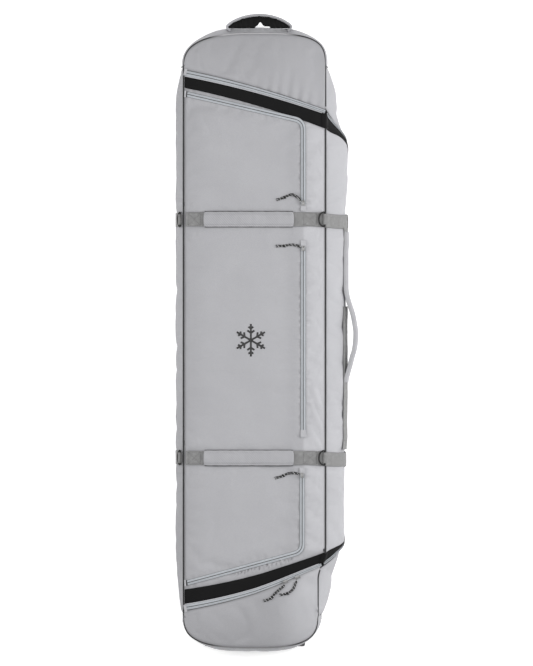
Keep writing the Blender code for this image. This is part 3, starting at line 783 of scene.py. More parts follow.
# ---- Front sections at the two ends ----------------------------------------------------------
def upper_front(u, v):
    across = widen(u)
    low = band_top(across) + through(UPPER_TAPE, across) + ZIP_MARGIN * 0.6
    y = low + (end_seam_y(across, True) - low) * v
    return on_front(across * half_width(y, across), y)


def lower_front(u, v):
    across = widen(u)
    high = band_bottom(across) - through(LOWER_TAPE, across) - ZIP_MARGIN * 0.6
    y = end_seam_y(across, False) * (1.0 - v) + high * v
    return on_front(across * half_width(y, across), y)


def upper_front_relief(at):
    """Upright folds that run into the zip, strongest to the right."""
    x, y = at.x, at.y
    lift = cloud(x, y, at.z, 0.15, 21) * 0.0007
    zip_y = np.array([band_top(value) for value in x / HALF_WIDTH]) + ZIP_TAPE
    off = y - zip_y
    for spot, width, height, reach in ((-0.01, 0.009, 0.002, 0.055), (0.022, 0.008, 0.0026, 0.07),
                                       (0.05, 0.008, 0.0032, 0.095), (0.078, 0.009, 0.0036, 0.11),
                                       (0.106, 0.009, 0.0036, 0.095), (0.134, 0.008, 0.003, 0.075),
                                       (0.16, 0.008, 0.0022, 0.06), (-0.06, 0.011, 0.0012, 0.05),
                                       (-0.12, 0.01, 0.0009, 0.045)):
        lean = spot + 0.1 * off
        fall = np.clip(1.0 - off / reach, 0.0, 1.0) ** 1.5
        lift = lift + height * fall * (bell(x, lean, width) - 0.7 * bell(x, lean + 1.7 * width, width * 0.7))
    return lift


def lower_front_relief(at):
    x, y = at.x, at.y
    lift = cloud(x, y, at.z, 0.14, 31) * 0.0007
    for start, end, width, height in (((-0.15, -0.735), (-0.135, -0.8), 0.012, 0.0013),
                                      ((-0.06, -0.722), (-0.07, -0.79), 0.012, 0.001),
                                      ((0.13, -0.69), (0.15, -0.76), 0.012, 0.0016),
                                      ((0.06, -0.705), (0.075, -0.78), 0.012, 0.0012),
                                      ((0.02, -0.83), (0.09, -0.8), 0.012, 0.001)):
        lift = lift + fold(x, y, start, end, width, height)
    return lift


def hemmed(at):
    """A firm hem along every border, wider in the corners."""
    corner = (np.clip((np.abs(at.x) - 0.162) / 0.014, 0.0, 1.0)
              * np.clip((np.abs(at.y) - 0.66) / 0.03, 0.0, 1.0))
    return np.maximum(np.clip((0.016 - at.near) / 0.006, 0.0, 1.0), corner)


# Painted light: both end fronts are painted lighter towards the right, the lower one much more.
padded_panel("upper_front", upper_front, 66, 22, "base", ["upper_front_panel"], upper_front_relief, hemmed,
             slack=0.01, cap=0.006, seed=5,
             tone=lambda at: 0.93 + 0.05 * step(at.x, 0.02, 0.14))
padded_panel("lower_front", lower_front, 66, 22, "base", ["lower_front_panel"], lower_front_relief, hemmed,
             slack=0.01, cap=0.006, seed=6,
             tone=lambda at: 0.92 + 0.24 * step(at.x, 0.05, 0.14))


# ---- Sides and ends --------------------------------------------------------------------------
LOW_Y = HOUSING_FRONT_Y + SEAM_GAP
HIGH_Y = TOP_SEAM_Y - TOP_ARC - SEAM_GAP
WALL_H = ZIP_H - 0.075
MARGIN = ZIP_TAPE + ZIP_MARGIN


def left_side(u, v):
    return side_point(HIGH_Y + (LOW_Y - HIGH_Y) * u, v, -1)


def lid_side(u, v):
    h = ZIP_H + (1.0 - ZIP_H) * v
    low, high = lower_cut(h) + SEAM_GAP, upper_cut(h) - SEAM_GAP
    return side_point(low + (high - low) * u, h, 1)


def right_wall(u, v):
    return side_point(LOW_Y + (HIGH_Y - LOW_Y) * u, v * WALL_H, 1)


def end_side(start_y, end_y):
    low_h = WALL_H + 0.01

    def surface(u, v):
        h = low_h + (1.0 - low_h) * v
        start = start_y(h)
        return side_point(start + (end_y(h) - start) * u, h, 1)
    return surface


def side_relief(seed, straps=True):
    """Long soft folds down a side wall, drawn in towards its straps."""
    def relief(at):
        lift = cloud(at.y, at.z * 1.6, at.x * 0.0, 0.17, seed) * 0.0011
        lift = lift + cloud(at.y, at.z, at.x * 0.0, 0.05, seed + 1) * 0.00035
        if straps:
            for y in STRAP_Y:
                lift = lift - 0.002 * bell(at.y, y, 0.022, 4)
                for dy, lean in ((0.04, 0.25), (0.07, 0.5), (-0.04, -0.25), (-0.072, -0.45)):
                    line = y + dy + lean * (0.19 - at.z)
                    top = np.clip((at.z - 0.09) / 0.09, 0.0, 1.0)
                    lift = lift + 0.0016 * top * bell(at.y, line, 0.007)
        return lift
    return relief


def top_end_relief(at):
    """The top end is fuller in the middle, under the tow handle."""
    full = 0.0034 * bell(at.x, 0.0, 0.12, 4) * np.clip(at.near / 0.025, 0.0, 1.0)
    return side_relief(51, False)(at) + full


def wheel_end_relief(at):
    """The wheel end is fuller in the middle, over the housing."""
    full = 0.0058 * bell(at.x, 0.0, 0.15, 4) * np.clip(at.near / 0.02, 0.0, 1.0)
    return side_relief(53, False)(at) + full


FLOOR = FLOOR_GAP + BACK_PANEL + SEAM_GAP
# Painted shade: the left side is painted darker all along, most towards the wheel end.
padded_panel("left_side", left_side, 220, 22, "base", ["left_gusset"], side_relief(41), slack=0.008,
             cap=0.005, seed=7,
             tone=lambda at: 0.8 + 0.12 * step(at.y, -0.45, 0.0) - 0.05 * step(at.y, 0.3, 0.5))
# Painted light: on the right, the lid's side and the side pieces at both ends are painted lighter.
padded_panel("lid_side", lid_side, 170, 18, "lid", ["lid_gusset"], side_relief(43), slack=0.008,
             cap=0.004, seed=8, tone=lambda at: 1.13)
padded_panel("right_wall", right_wall, 150, 6, "base", ["right_base_wall"], side_relief(45, False),
             slack=0.004, cap=0.002, seed=9)
padded_panel("upper_right_side", end_side(lambda h: upper_cut(h) + MARGIN, lambda h: HIGH_Y), 24, 20, "base",
             ["upper_right_gusset"], side_relief(47, False), slack=0.008, cap=0.004, seed=10,
             tone=lambda at: 1.06)
padded_panel("lower_right_side", end_side(lambda h: LOW_Y, lambda h: lower_cut(h) - MARGIN), 24, 20, "base",
             ["lower_right_gusset"], side_relief(49, False), slack=0.008, cap=0.004, seed=11,
             tone=lambda at: 1.12)
# Painted highlight: both end walls are painted lighter along the middle.
padded_panel("top_end", lambda u, v: end_point(widen(1.0 - u), v, True, FLOOR), 90, 20, "base",
             ["top_gusset"], top_end_relief, slack=0.008, cap=0.005, seed=12,
             tone=lambda at: 1.0 + 0.26 * bell(at.x, 0.0, 0.15, 4))
padded_panel("wheel_end", lambda u, v: end_point(widen(u), v, False, HOUSING_TOP + SEAM_GAP), 90, 12,
             "base", ["wheel_end_gusset"], wheel_end_relief, slack=0.008, cap=0.004, seed=13,
             tone=lambda at: 1.0 + 0.22 * bell(at.x, 0.0, 0.15, 4))


def back_relief(at):
    """Lengthwise stitched channels in the tough back cloth."""
    lift = cloud(at.x, at.y, at.z, 0.2, 61) * 0.0004
    for x in (-0.11, -0.055, 0.0, 0.055, 0.11):
        lift = lift - 0.0009 * bell(at.x, x, 0.0022)
    return lift


def back_surface(u, v):
    across = widen(u)
    low = HOUSING_FRONT_Y + SEAM_GAP
    y = low + (end_seam_y(across, True) - low) * v
    return Vector((across * half_width(y, across), y, FLOOR_GAP + BACK_PANEL))


back = cloth_piece("back_cloth", grid_points(back_surface, 160, 120), "base",
                   twill("back_tarpaulin", 0.1, (1.0, 1.0, 1.03), pitch=0.0026, contrast=0.3, roughness=0.6),
                   ["back_panel"], inner=LINING)
emboss(back, lambda at: back_relief(at) * -1.0)
thicken(back, BACK_PANEL - 0.0004, 1)


# ---- Swept strips: zips, webbing, bindings ---------------------------------------------------
def strip_frames(path, fixed_across=None):
    """Centre, across and up vectors along a path of design points; up leaves the bag."""
    frames = []
    for i, centre in enumerate(path):
        before, after = path[max(0, i - 1)], path[min(len(path) - 1, i + 1)]
        along = (after - before).normalized()
        across = fixed_across or Vector((along.y, -along.x, 0.0)).normalized()
        across = (across - along * across.dot(along)).normalized()
        up = across.cross(along).normalized()
        frames.append((Vector(centre), across, up))
    return frames


def sweep(name, frames, profile, scale=None):
    """A closed solid: the closed profile of (sideways, height) points carried along the frames."""
    distance = [0.0]
    for (a, _, _), (b, _, _) in zip(frames, frames[1:]):
        distance.append(distance[-1] + (b - a).length)
    made = bmesh.new()
    layer = made.loops.layers.uv.new("cloth")
    rings = []
    for i, (centre, across, up) in enumerate(frames):
        grow = scale(i / (len(frames) - 1)) if scale else 1.0
        rings.append([made.verts.new(place_at(centre + across * s * grow + up * h)) for s, h in profile])
    count = len(profile)
    for i in range(len(rings) - 1):
        for k in range(count):
            n = (k + 1) % count
            face = made.faces.new((rings[i][k], rings[i][n], rings[i + 1][n], rings[i + 1][k]))
            spots = ((profile[k][0], distance[i]), (profile[n][0], distance[i]),
                     (profile[n][0], distance[i + 1]), (profile[k][0], distance[i + 1]))
            for loop, spot in zip(face.loops, spots):
                loop[layer].uv = spot
    for ring, at in ((rings[0][::-1], distance[0]), (rings[-1], distance[-1])):
        face = made.faces.new(ring)
        for loop in face.loops:
            loop[layer].uv = (0.0, at)
    return made_mesh(name, made, 50)


def add_piece(name, mesh, material, body, nodes=()):
    piece = new_object(name, mesh, material)
    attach(piece, body)
    for node in nodes:
        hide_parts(node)
    return piece


def strip(name, path, profile, material, body, nodes=(), across=None, scale=None):
    """A swept piece along a path; across is the strip's own sideways direction, if it is fixed."""
    frames = strip_frames(path, across)
    return add_piece(name, sweep(name, frames, profile, scale), material, body, nodes)


def zip_material(name, half):
    """Ribbed bluish tape: dark seam in the middle and a dark line along both edges."""
    n = Nodes(name)
    side, along, _ = n.split(n.cloth_place())
    off = n.math("ABSOLUTE", side)
    teeth = n.waves(along, 0.0021)
    slant = n.waves(n.math("ADD", along, n.math("MULTIPLY", side, 0.9)), 0.0013)
    colour = n.mix(teeth, grey(0.26, BLUE), grey(0.44, BLUE))
    weave = n.mix(slant, grey(0.28, BLUE), grey(0.42, BLUE))
    colour = n.mix(n.ramp(off, half * 0.52, half * 0.58), colour, weave)
    stain = n.noise(n.place(), 40.0, 3.0)
    colour = n.mix(n.ramp(stain, 0.45, 0.8, 0.0, 0.35), colour, grey(0.25, BLUE))
    colour = n.mix(n.ramp(off, 0.0013, 0.0007), colour, grey(0.05))
    colour = n.mix(n.ramp(off, half * 0.86, half * 0.92), colour, grey(0.085))
    relief = n.bump(teeth, 0.0004, 0.9)
    return n.finish(colour, n.ramp(stain, 0.3, 0.7, 0.52, 0.68), relief)


def zip_profile(half, thick, ridge=0.0009):
    """Tape with a coil ridge on each side of the middle line."""
    top = [(-half, 0.0), (-half * 0.6, 0.0001), (-half * 0.5, ridge * 0.9), (-half * 0.25, ridge),
           (-half * 0.08, ridge * 0.7), (0.0, -0.0002), (half * 0.08, ridge * 0.7), (half * 0.25, ridge),
           (half * 0.5, ridge * 0.9), (half * 0.6, 0.0001), (half, 0.0)]
    return top + [(half, -thick), (-half, -thick)]


POCKET_HALF, ZIP_STEP = 0.0074, 0.004
POCKET_TAPE = zip_material("pocket_zip_tape", POCKET_HALF)


def rounded_path(corners, radius, arc_steps=10):
    corners = [Vector((*corner, 0.0)) for corner in corners]
    path = [corners[0]]
    for before, corner, after in zip(corners, corners[1:], corners[2:]):
        into, out = (corner - before).normalized(), (after - corner).normalized()
        reach = radius * math.tan(into.angle(out) / 2.0)
        start, end = corner - into * reach, corner + out * reach
        for i in range(arc_steps + 1):
            t = i / arc_steps
            path.append(start.lerp(corner, t).lerp(corner.lerp(end, t), t))
    return [*path, corners[-1]]


for zip_name, corners in POCKET_ZIPS.items():
    run = [on_front(p.x, p.y, ZIP_LIFT + ZIP_THICK)
           for p in resample(rounded_path(corners, POCKET_CORNER), ZIP_STEP)]
    strip(f"{zip_name}_tape", run, zip_profile(POCKET_HALF, ZIP_THICK + 0.001), POCKET_TAPE, "lid",
          [f"{zip_name}_zip"])


# ---- Main zip and the black bands beside it --------------------------------------------------
def slanting(edge, offset, lift=0.0, inset=0.0):
    path = []
    for u in spread(-1.0, 1.0, 90):
        y = edge(u) + offset(u)
        path.append(on_front(u * (half_width(y, u) - inset), y, lift))
    return path


def main_zip(place_name, edge, tape, sign):
    """One slanting run of the main zip, which narrows to the right."""
    def half_tape(u):
        return 0.5 * (through(tape, u) - ZIP_SPLIT)
    name, widest = f"main_zip_{place_name}", half_tape(-1.0)
    strip(f"{name}_tape", slanting(edge, lambda u: sign * (ZIP_SPLIT + half_tape(u))),
          zip_profile(widest, ZIP_THICK + 0.0006), zip_material(f"main_zip_tape_{place_name}", widest), "base",
          [name], scale=lambda t: half_tape(2.0 * t - 1.0) / widest)


main_zip("upper", band_top, UPPER_TAPE, 1.0)
main_zip("lower", band_bottom, LOWER_TAPE, -1.0)


def black_band(edge, width, sign):
    def surface(u, v):
        across = -1.0 + 2.0 * u
        share = v if sign > 0 else 1.0 - v
        y = edge(across) + sign * through(width, across) * share
        return on_front(across * (half_width(y, across) - 0.0015), y)
    return grid_points(surface, 90, 8)


def band_relief(at):
    return cloud(at.x, at.y, at.z, 0.05, 71) * 0.0005 - 0.0012 * bell(at.near, 0.0, 0.004)


for place_name, edge, width, sign in (("upper", band_top, UPPER_BAND_WIDTH, -1.0),
                                      ("lower", band_bottom, LOWER_BAND_WIDTH, 1.0)):
    band = cloth_piece(f"black_band_{place_name}", black_band(edge, width, sign), "lid", BLACK_CLOTH,
                       [f"lid_band_{place_name}"], inner=LINING)
    refine(band)
    emboss(band, band_relief)
    thicken(band, CLOTH_THICK, 1)


# The bands go on over the seam and down the side, along the lid's cut edges.
SIDE_CLOTH = surface_of(["lid_side", "upper_right_side", "lower_right_side"])


def over_side(spot, lift):
    """A point of the right side, moved out to the finished cloth."""
    start = place_at(Vector((0.45, spot.y, spot.z)))
    hit = SIDE_CLOTH.ray_cast(start, Vector((-1.0, 0.0, 0.0)), 0.26)[0]
    reach = max(spot.x, hit.x - SHIFT.x) if hit else spot.x
    return Vector((reach + lift, spot.y, spot.z))


def round_the_seam(spot, out=0.003):
    """Two points that turn a strip from the front down to the right side."""
    over = spot + Vector((out, 0.0, -0.0012))
    return [over, over + Vector((0.0022, 0.0, -0.003))]


def side_band(edge, cut, width, sign):
    rows = []
    for share in spread(0.0, 1.0, 8):
        path = []
        for i, across in enumerate(spread(0.955, 1.0, 4)):
            y = edge(across) + sign * width(1.0) * share
            path.append(on_front(across * half_width(y, 1), y, 0.0016 + 0.0012 * i / 4))
        path += round_the_seam(path[-1])
        for h in spread(0.95, ZIP_H + 0.02, 33):
            y = cut(h) + sign * width(h) * share
            path.append(over_side(side_point(y, h, 1), 0.0014))
        rows.append([place_at(spot) for spot in path])
    return np.array(rows if sign > 0 else rows[::-1])


def upper_side_width(h):
    return 0.0245 + 0.0155 * smooth(0.7, 1.0, h)


def lower_side_width(h):
    return 0.01 + 0.016 * smooth(0.5, 0.98, h)


for place_name, edge, cut, width, sign in (("upper", band_top, upper_cut, upper_side_width, -1.0),
                                           ("lower", band_bottom, lower_cut, lower_side_width, 1.0)):
    piece = cloth_piece(f"side_band_{place_name}", side_band(edge, cut, width, sign), "lid", BLACK_CLOTH, ())
    refine(piece)
    thicken(piece, 0.0022)

# Zip along the side, under the lid's free edge.
SIDE_ZIP_HALF = 0.0055
strip("main_zip_side_tape",
      [side_point(y, ZIP_H - 0.038, 1) + Vector((0.0004, 0.0, 0.0))
       for y in spread(lower_cut(ZIP_H) + 0.02, upper_cut(ZIP_H) - 0.02, 159)],
      zip_profile(SIDE_ZIP_HALF, ZIP_THICK), zip_material("main_zip_tape_side", SIDE_ZIP_HALF), "base",
      ["main_zip_side"], -Vector((0.25, 0.0, 1.0)).normalized())


# ---- Webbing ---------------------------------------------------------------------------------
def webbing(name, level, tint=(1.0, 1.0, 1.0), half=0.0195, contrast=0.3):
    """Woven polyester webbing: ribs along it, crossed by fine picks, with darker edges."""
    n = Nodes(name)
    side, along, _ = n.split(n.cloth_place())
    ribs = n.waves(side, 0.003)
    picks = n.waves(n.math("ADD", along, n.math("MULTIPLY", side, 0.5)), 0.0014)
    mottle = n.noise(n.place(), 95.0, 4.0, 0.7)
    weave = n.math("ADD", n.math("MULTIPLY", ribs, 0.55), n.math("MULTIPLY", picks, 0.45))
    colour = n.mix(weave, grey(level * (1.0 - contrast), tint), grey(level * (1.0 + contrast), tint))
    colour = n.mix(n.ramp(mottle, 0.5, 0.75, 0.0, 0.55), colour, grey(level * 1.7, tint))
    colour = n.mix(n.ramp(mottle, 0.45, 0.25, 0.0, 0.45), colour, grey(level * 0.55, tint))
    edge = n.ramp(n.math("ABSOLUTE", side), half * 0.9, half * 0.98)
    colour = n.mix(n.math("MULTIPLY", edge, 0.45), colour, grey(level * 0.5, tint))
    relief = n.bump(weave, 0.0004, 0.9)
    return n.finish(colour, n.ramp(mottle, 0.3, 0.7, 0.62, 0.78), relief, Specular_IOR_Level=0.3)


WEBBING = webbing("grey_webbing", 0.18)


def web_profile(width, thick, edge=0.0006):
    half = width / 2.0
    top = [(-half, -thick + edge), (-half + edge, 0.0)]
    top += [(-half + width * k / 8, 0.0) for k in range(1, 8)]
    top += [(half - edge, 0.0), (half, -thick + edge), (half - edge, -thick), (-half + edge, -thick)]
    return top


STITCH_STEP, STITCH_LENGTH, STITCH_PITCH, THREAD_RADIUS = 0.0008, 0.0032, 0.0048, 0.00035


def stitch_mesh(path, up):
    """One row of stitches lying along the path; up is the way out of the cloth."""
    points = resample(path, STITCH_STEP)
    pitch, reach = round(STITCH_PITCH / STITCH_STEP), round(STITCH_LENGTH / STITCH_STEP)
    made = bmesh.new()
    for start, end in zip(points[:-reach:pitch], points[reach::pitch]):
        along = end - start
        side = along.normalized().cross(up).normalized() * THREAD_RADIUS * 1.3
        top = up * THREAD_RADIUS
        rings = []
        for share, size in ((0.0, 0.45), (0.25, 1.0), (0.75, 1.0), (1.0, 0.45)):
            centre = place_at(start + along * share)
            rings.append([made.verts.new(centre + (side * math.cos(t) + top * math.sin(t)) * size)
                          for t in (math.pi * k / 2.5 for k in range(5))])
        bridge_rings(made, rings)
    return made_mesh("stitches", made)


def thread(name, level):
    n = Nodes(name)
    twist = n.waves(n.math("ADD", *n.split(n.place())[:2]), 0.0009)
    colour = n.mix(twist, grey(level * 0.75), grey(level * 1.2))
    return n.finish(colour, n.ramp(twist, 0.0, 1.0, 0.55, 0.7), n.bump(twist, 0.0001))


THREADS = {"grey": thread("grey_thread", 0.3), "dark": thread("dark_thread", 0.06)}
UP = Vector((0.0, 0.0, 1.0))
STITCHES = {("lid", "grey"): [], ("base", "grey"): [], ("lid", "dark"): [], ("base", "dark"): []}


def stitch(body, path, up=UP, shade="grey"):
    STITCHES[body, shade].append(stitch_mesh(path, up))


def box_x(body, corners, up):
    """A sewn box with a cross in it."""
    a, b, c, d = corners
    for line in ((a, b), (b, c), (c, d), (d, a), (a, c), (b, d)):
        stitch(body, line, up, "dark")


STRAP_SAG = 0.006      # the straps run a little down towards their buckles


def lid_strap_path(y, height):
    """Outer side of a lid strap: over the front, round the right seam and down the side."""
    start, end = -HALF_WIDTH + 0.006, HALF_WIDTH
    path = [on_front(x, y, height) for x in spread(start, end, 60)]
    path += round_the_seam(path[-1], 0.0032)
    out = Vector((STRAP_THICK + ZIP_LIFT + 0.0015, 0.0, 0.0))
    path += [side_point(y, h, 1) + out for h in spread(0.95, STRAP_END, 24)]
    for point in path:
        point.y -= STRAP_SAG * smooth(0.15, 0.245, point.x)
    return path


ALONG_Y = Vector((0.0, -1.0, 0.0))

# The main zip's tape goes on over the side, along the bands' outer edges.
SIDE_TAPE_HALF = 0.004
for place_name, cut, sign in (("upper", upper_cut, 1.0), ("lower", lower_cut, -1.0)):
    path = [over_side(side_point(cut(h) + sign * 0.0052, h, 1), 0.0008) for h in spread(0.97, 0.35, 60)]
    strip(f"main_zip_{place_name}_side_tape", path, zip_profile(SIDE_TAPE_HALF, ZIP_THICK),
          zip_material(f"side_tape_{place_name}", SIDE_TAPE_HALF), "base", across=ALONG_Y)

SLEEVE_BASE = 2 * ZIP_LIFT + ZIP_THICK + STRAP_THICK
for place_name, y in zip(("upper", "lower"), STRAP_Y):
    strip(f"lid_strap_{place_name}_web", lid_strap_path(y, SLEEVE_BASE), web_profile(STRAP_WIDTH, STRAP_THICK),
          WEBBING, "lid", [f"lid_strap_{place_name}"], ALONG_Y)
    path = [side_point(y, h, -1) - Vector((STRAP_THICK + ZIP_LIFT, 0.0, 0.0)) for h in spread(0.02, 0.88, 40)]
    strip(f"left_strap_{place_name}_web", path, web_profile(STRAP_WIDTH, STRAP_THICK), WEBBING, "base",
          [f"left_strap_{place_name}"], ALONG_Y)

    top = SLEEVE_BASE + 0.0002
    half = STRAP_WIDTH / 2.0 - 0.003
    for x0, x1 in ((-0.184, -0.15), (0.136, 0.172)):
        corners = [on_front(x0, y - half, top), on_front(x1, y - half, top),
                   on_front(x1, y + half, top), on_front(x0, y + half, top)]
        box_x("lid", corners, UP)
    for side in (-1.0, 1.0):
        edge_y = y + side * (STRAP_WIDTH / 2.0 - 0.0017)
        stitch("lid", [on_front(x, edge_y, top) for x in spread(-0.186, 0.176, 20)])


# ---- Padded sleeves on the straps ------------------------------------------------------------
def sleeve_material():
    n = Nodes("sleeve_cloth")
    x, y, _ = n.split(n.place())
    slant = n.waves(n.math("ADD", x, n.math("MULTIPLY", y, 0.9)), 0.0064)
    fine = n.waves(n.math("SUBTRACT", x, n.math("MULTIPLY", y, 1.1)), 0.0016)
    cloud_node = n.noise(n.place(), 30.0, 3.0)
    colour = n.mix(slant, grey(0.275, COOL), grey(0.345, COOL))
    colour = n.mix(n.math("MULTIPLY", fine, 0.3), colour, grey(0.26, COOL))
    colour = n.mix(n.ramp(cloud_node, 0.45, 0.75, 0.0, 0.4), colour, grey(0.37, COOL))
    relief = n.bump(slant, 0.0006, 0.7)
    relief = n.bump(fine, 0.0002, 0.7, relief)
    return n.finish(colour, n.ramp(cloud_node, 0.3, 0.7, 0.72, 0.84), relief, Specular_IOR_Level=0.3)


SLEEVE = sleeve_material()


def sleeve_profile(width, thick, crown=0.003):
    """Rounded cushion section with a seam groove 5 mm inside each edge."""
    half = width / 2.0
    top = []
    for s in spread(-half, half, 22):
        edge = 1.0 - (abs(s) / half) ** 6
        groove = math.exp(-((abs(s) - (half - 0.0052)) / 0.0012) ** 2)
        top.append((s, -thick + 0.0015 + (thick - 0.0015 + crown * (1.0 - (s / half) ** 2)) * edge ** 0.5
                    - 0.0022 * groove))
    return top + [(half - 0.002, -thick), (-half + 0.002, -thick)]


for place_name, y in zip(("upper", "lower"), STRAP_Y):
    base_lift = SLEEVE_BASE + 0.0003
    path = []
    for t in spread(0.0, 1.0, 89):
        x = SLEEVE_X + SLEEVE_LENGTH * (t - 0.5)
        ends = min(1.0, min(t, 1.0 - t) * 22.0) ** 0.5
        sag = 0.0004 * math.sin(x * 130.0) + 0.0003 * math.sin(x * 310.0 + 1.0)
        path.append(on_front(x, y, base_lift + SLEEVE_THICK - 0.003 - 0.0016 * (1.0 - ends) + sag))
    piece = strip(f"wrap_sleeve_{place_name}_pad", path, sleeve_profile(SLEEVE_WIDTH, SLEEVE_THICK - 0.003),
                  SLEEVE, f"wrap_{place_name}", [f"wrap_sleeve_{place_name}"], ALONG_Y,
                  lambda t: 0.94 + 0.06 * min(1.0, min(t, 1.0 - t) * 30.0) ** 0.5)


# ---- Seams -----------------------------------------------------------------------------------
def piping_material(name, level, tint=(1.0, 1.0, 1.03), painted_end_highlights=False):
    n = Nodes(name)
    x, y, z = n.split(n.place())
    twist = n.waves(n.math("ADD", n.math("ADD", x, y), z), 0.0022)
    dust = n.noise(n.place(), 60.0, 3.0)
    colour = n.mix(twist, grey(level * 0.8, tint), grey(level * 1.2, tint))
    colour = n.mix(n.ramp(dust, 0.5, 0.8, 0.0, 0.5), colour, grey(level * 1.7, tint))
    if painted_end_highlights:
        # painted highlight: along the middle of the top end the binding is painted as light as the shell cloth,
        # along the middle of the wheel end a little lighter, and it is dark everywhere else
        middle = n.ramp(n.math("ABSOLUTE", n.math("SUBTRACT", x, SHIFT.x)), 0.125, 0.085)
        colour = n.mix(n.math("MULTIPLY", middle, n.ramp(y, 0.7, 0.72)), colour, grey(0.34, tint))
        colour = n.mix(n.math("MULTIPLY", middle, n.ramp(y, -0.8, -0.82)), colour, grey(0.16, tint))
    return n.finish(colour, n.ramp(dust, 0.3, 0.7, 0.6, 0.8), n.bump(twist, 0.0003, 0.6),
                    Specular_IOR_Level=0.2)


PIPING = piping_material("grey_piping", 0.036, painted_end_highlights=True)
DARK_PIPING = piping_material("dark_piping", 0.015)


def round_piece(name, path, radius, material, body, nodes=(), sides=8, closed=False):
    mesh = tube_mesh(name, [place_at(p) for p in path], radius, sides, closed)
    return add_piece(name, mesh, material, body, nodes)


def seam_run(start, end, count, side=1.0, inward=0.0):
    """The front seam along one side, just under the rolled edge of the front panel."""
    run = []
    for y in spread(start, end, count):
        x = side * (half_width(y, side) - inward)
        run.append(Vector((x + side * SEAM_OUT, y, front_z(x, y) - SEAM_DOWN)))
    return run


def end_run(top, count, drop=True):
    """The seam round one end; without drop it stays on the back panel's level."""
    run = []
    for i in range(count + 1):
        here = end_plan(widen(i / count), top)
        if drop:
            run.append(Vector((here.x, here.y + (SEAM_OUT if top else -SEAM_OUT),
                               front_z(here.x, here.y) - SEAM_DOWN)))
        else:
            run.append(Vector((here.x, here.y + BACK_SEAM_OUT, BACK_SEAM_Z)))
    return run


SEAM_OUT, SEAM_DOWN, PIPING_RADIUS, BACK_SEAM_OUT = 0.0012, 0.0036, 0.0021, 0.001
BACK_SEAM_Z = FLOOR_GAP + BACK_PANEL + 0.0005
TOP_CORNER_Y, WHEEL_CORNER_Y = 0.757, -0.766
loop = seam_run(upper_cut(1.0) + 0.02, TOP_CORNER_Y, 12) + end_run(True, 70)[::-1]
loop += seam_run(TOP_CORNER_Y, WHEEL_CORNER_Y, 120, -1.0) + end_run(False, 70)
loop += seam_run(WHEEL_CORNER_Y, lower_cut(1.0) - 0.02, 16)
round_piece("front_seam", resample(loop, 0.008), PIPING_RADIUS, PIPING, "base")
round_piece("lid_seam", seam_run(lower_cut(1.0) + 0.004, upper_cut(1.0) - 0.004, 160), PIPING_RADIUS, PIPING,
            "lid")
inner = [spot - Vector((0.0, 0.0, 0.0052))
         for spot in seam_run(lower_cut(1.0) + 0.01, upper_cut(1.0) - 0.01, 80, inward=0.005)]
round_piece("lid_seam_binding", inner, 0.0032, LINING, "lid")
hinge = [on_front(-HALF_WIDTH, y, -0.0012) - Vector((0.0003, 0.0, 0.0)) for y in spread(-0.728, 0.724, 160)]
round_piece("hinge_binding", hinge, 0.0014, DARK_PIPING, "base")

loop = [Vector((-HALF_WIDTH - BACK_SEAM_OUT, y, BACK_SEAM_Z)) for y in spread(LOW_Y, TOP_CORNER_Y, 100)]
loop += end_run(True, 60, False)
loop += [Vector((half_width(y, 1.0) + BACK_SEAM_OUT, y, BACK_SEAM_Z))
         for y in spread(TOP_CORNER_Y, LOW_Y, 100)]
round_piece("back_seam", resample(loop, 0.01), PIPING_RADIUS, DARK_PIPING, "base")
for name, side in (("corner_seam_left", -1), ("corner_seam_right", 1)):
    round_piece(name, [side_point(HIGH_Y + 0.001, h, side) for h in spread(0.01, 0.85, 24)], 0.0011, PIPING,
                "base")
edge_line = [side_point(y, ZIP_H + 0.004, 1) + Vector((0.0006, 0.0, 0.0))
             for y in spread(lower_cut(ZIP_H) + 0.004, upper_cut(ZIP_H) - 0.004, 160)]
round_piece("lid_edge_binding", edge_line, 0.0018, DARK_PIPING, "lid")
# The lips beside the black bands carry a painted highlight on the rolled edge.
for place_name, edge, sign in (("upper", band_top, 1.0), ("lower", band_bottom, -1.0)):
    lip = slanting(edge, lambda u, s=sign: s * 0.0006, lift=-0.0008, inset=0.003)
    round_piece(f"band_lip_{place_name}", lip, 0.0011, SHELL_HIGHLIGHT, "lid")


# The wrap sleeves' bound edges.
for place_name, y in zip(("upper", "lower"), STRAP_Y):
    for edge_name, sign in (("high", 1.0), ("low", -1.0)):
        line = [on_front(SLEEVE_X + x, y + sign * SLEEVE_WIDTH * 0.5, SLEEVE_BASE + 0.0018)
                for x in spread(-0.4925 * SLEEVE_LENGTH, 0.4925 * SLEEVE_LENGTH, 40)]
        round_piece(f"sleeve_edge_{place_name}_{edge_name}", line, 0.001, PIPING, f"wrap_{place_name}")


# ---- Moulded plastic -------------------------------------------------------------------------
def plastic(name, level, roughness=0.38, scratch=0.25):
    n = Nodes(name)
    grain = n.noise(n.place(), 900.0, 2.0)
    marks = n.noise(n.vector("MULTIPLY", n.place(), (90.0, 420.0, 90.0)), 1.0, 4.0, 0.7)
    colour = n.mix(grain, grey(level * 0.85), grey(level * 1.25))
    colour = n.mix(n.ramp(marks, 0.58, 0.8, 0.0, scratch), colour, grey(level * 3.0 + 0.03))
    return n.finish(colour, n.ramp(marks, 0.3, 0.75, roughness - 0.05, roughness + 0.15),
                    n.bump(grain, 0.00012, 0.6), Specular_IOR_Level=0.35)


BLACK_PLASTIC = plastic("black_nylon", 0.006, 0.44, 0.07)


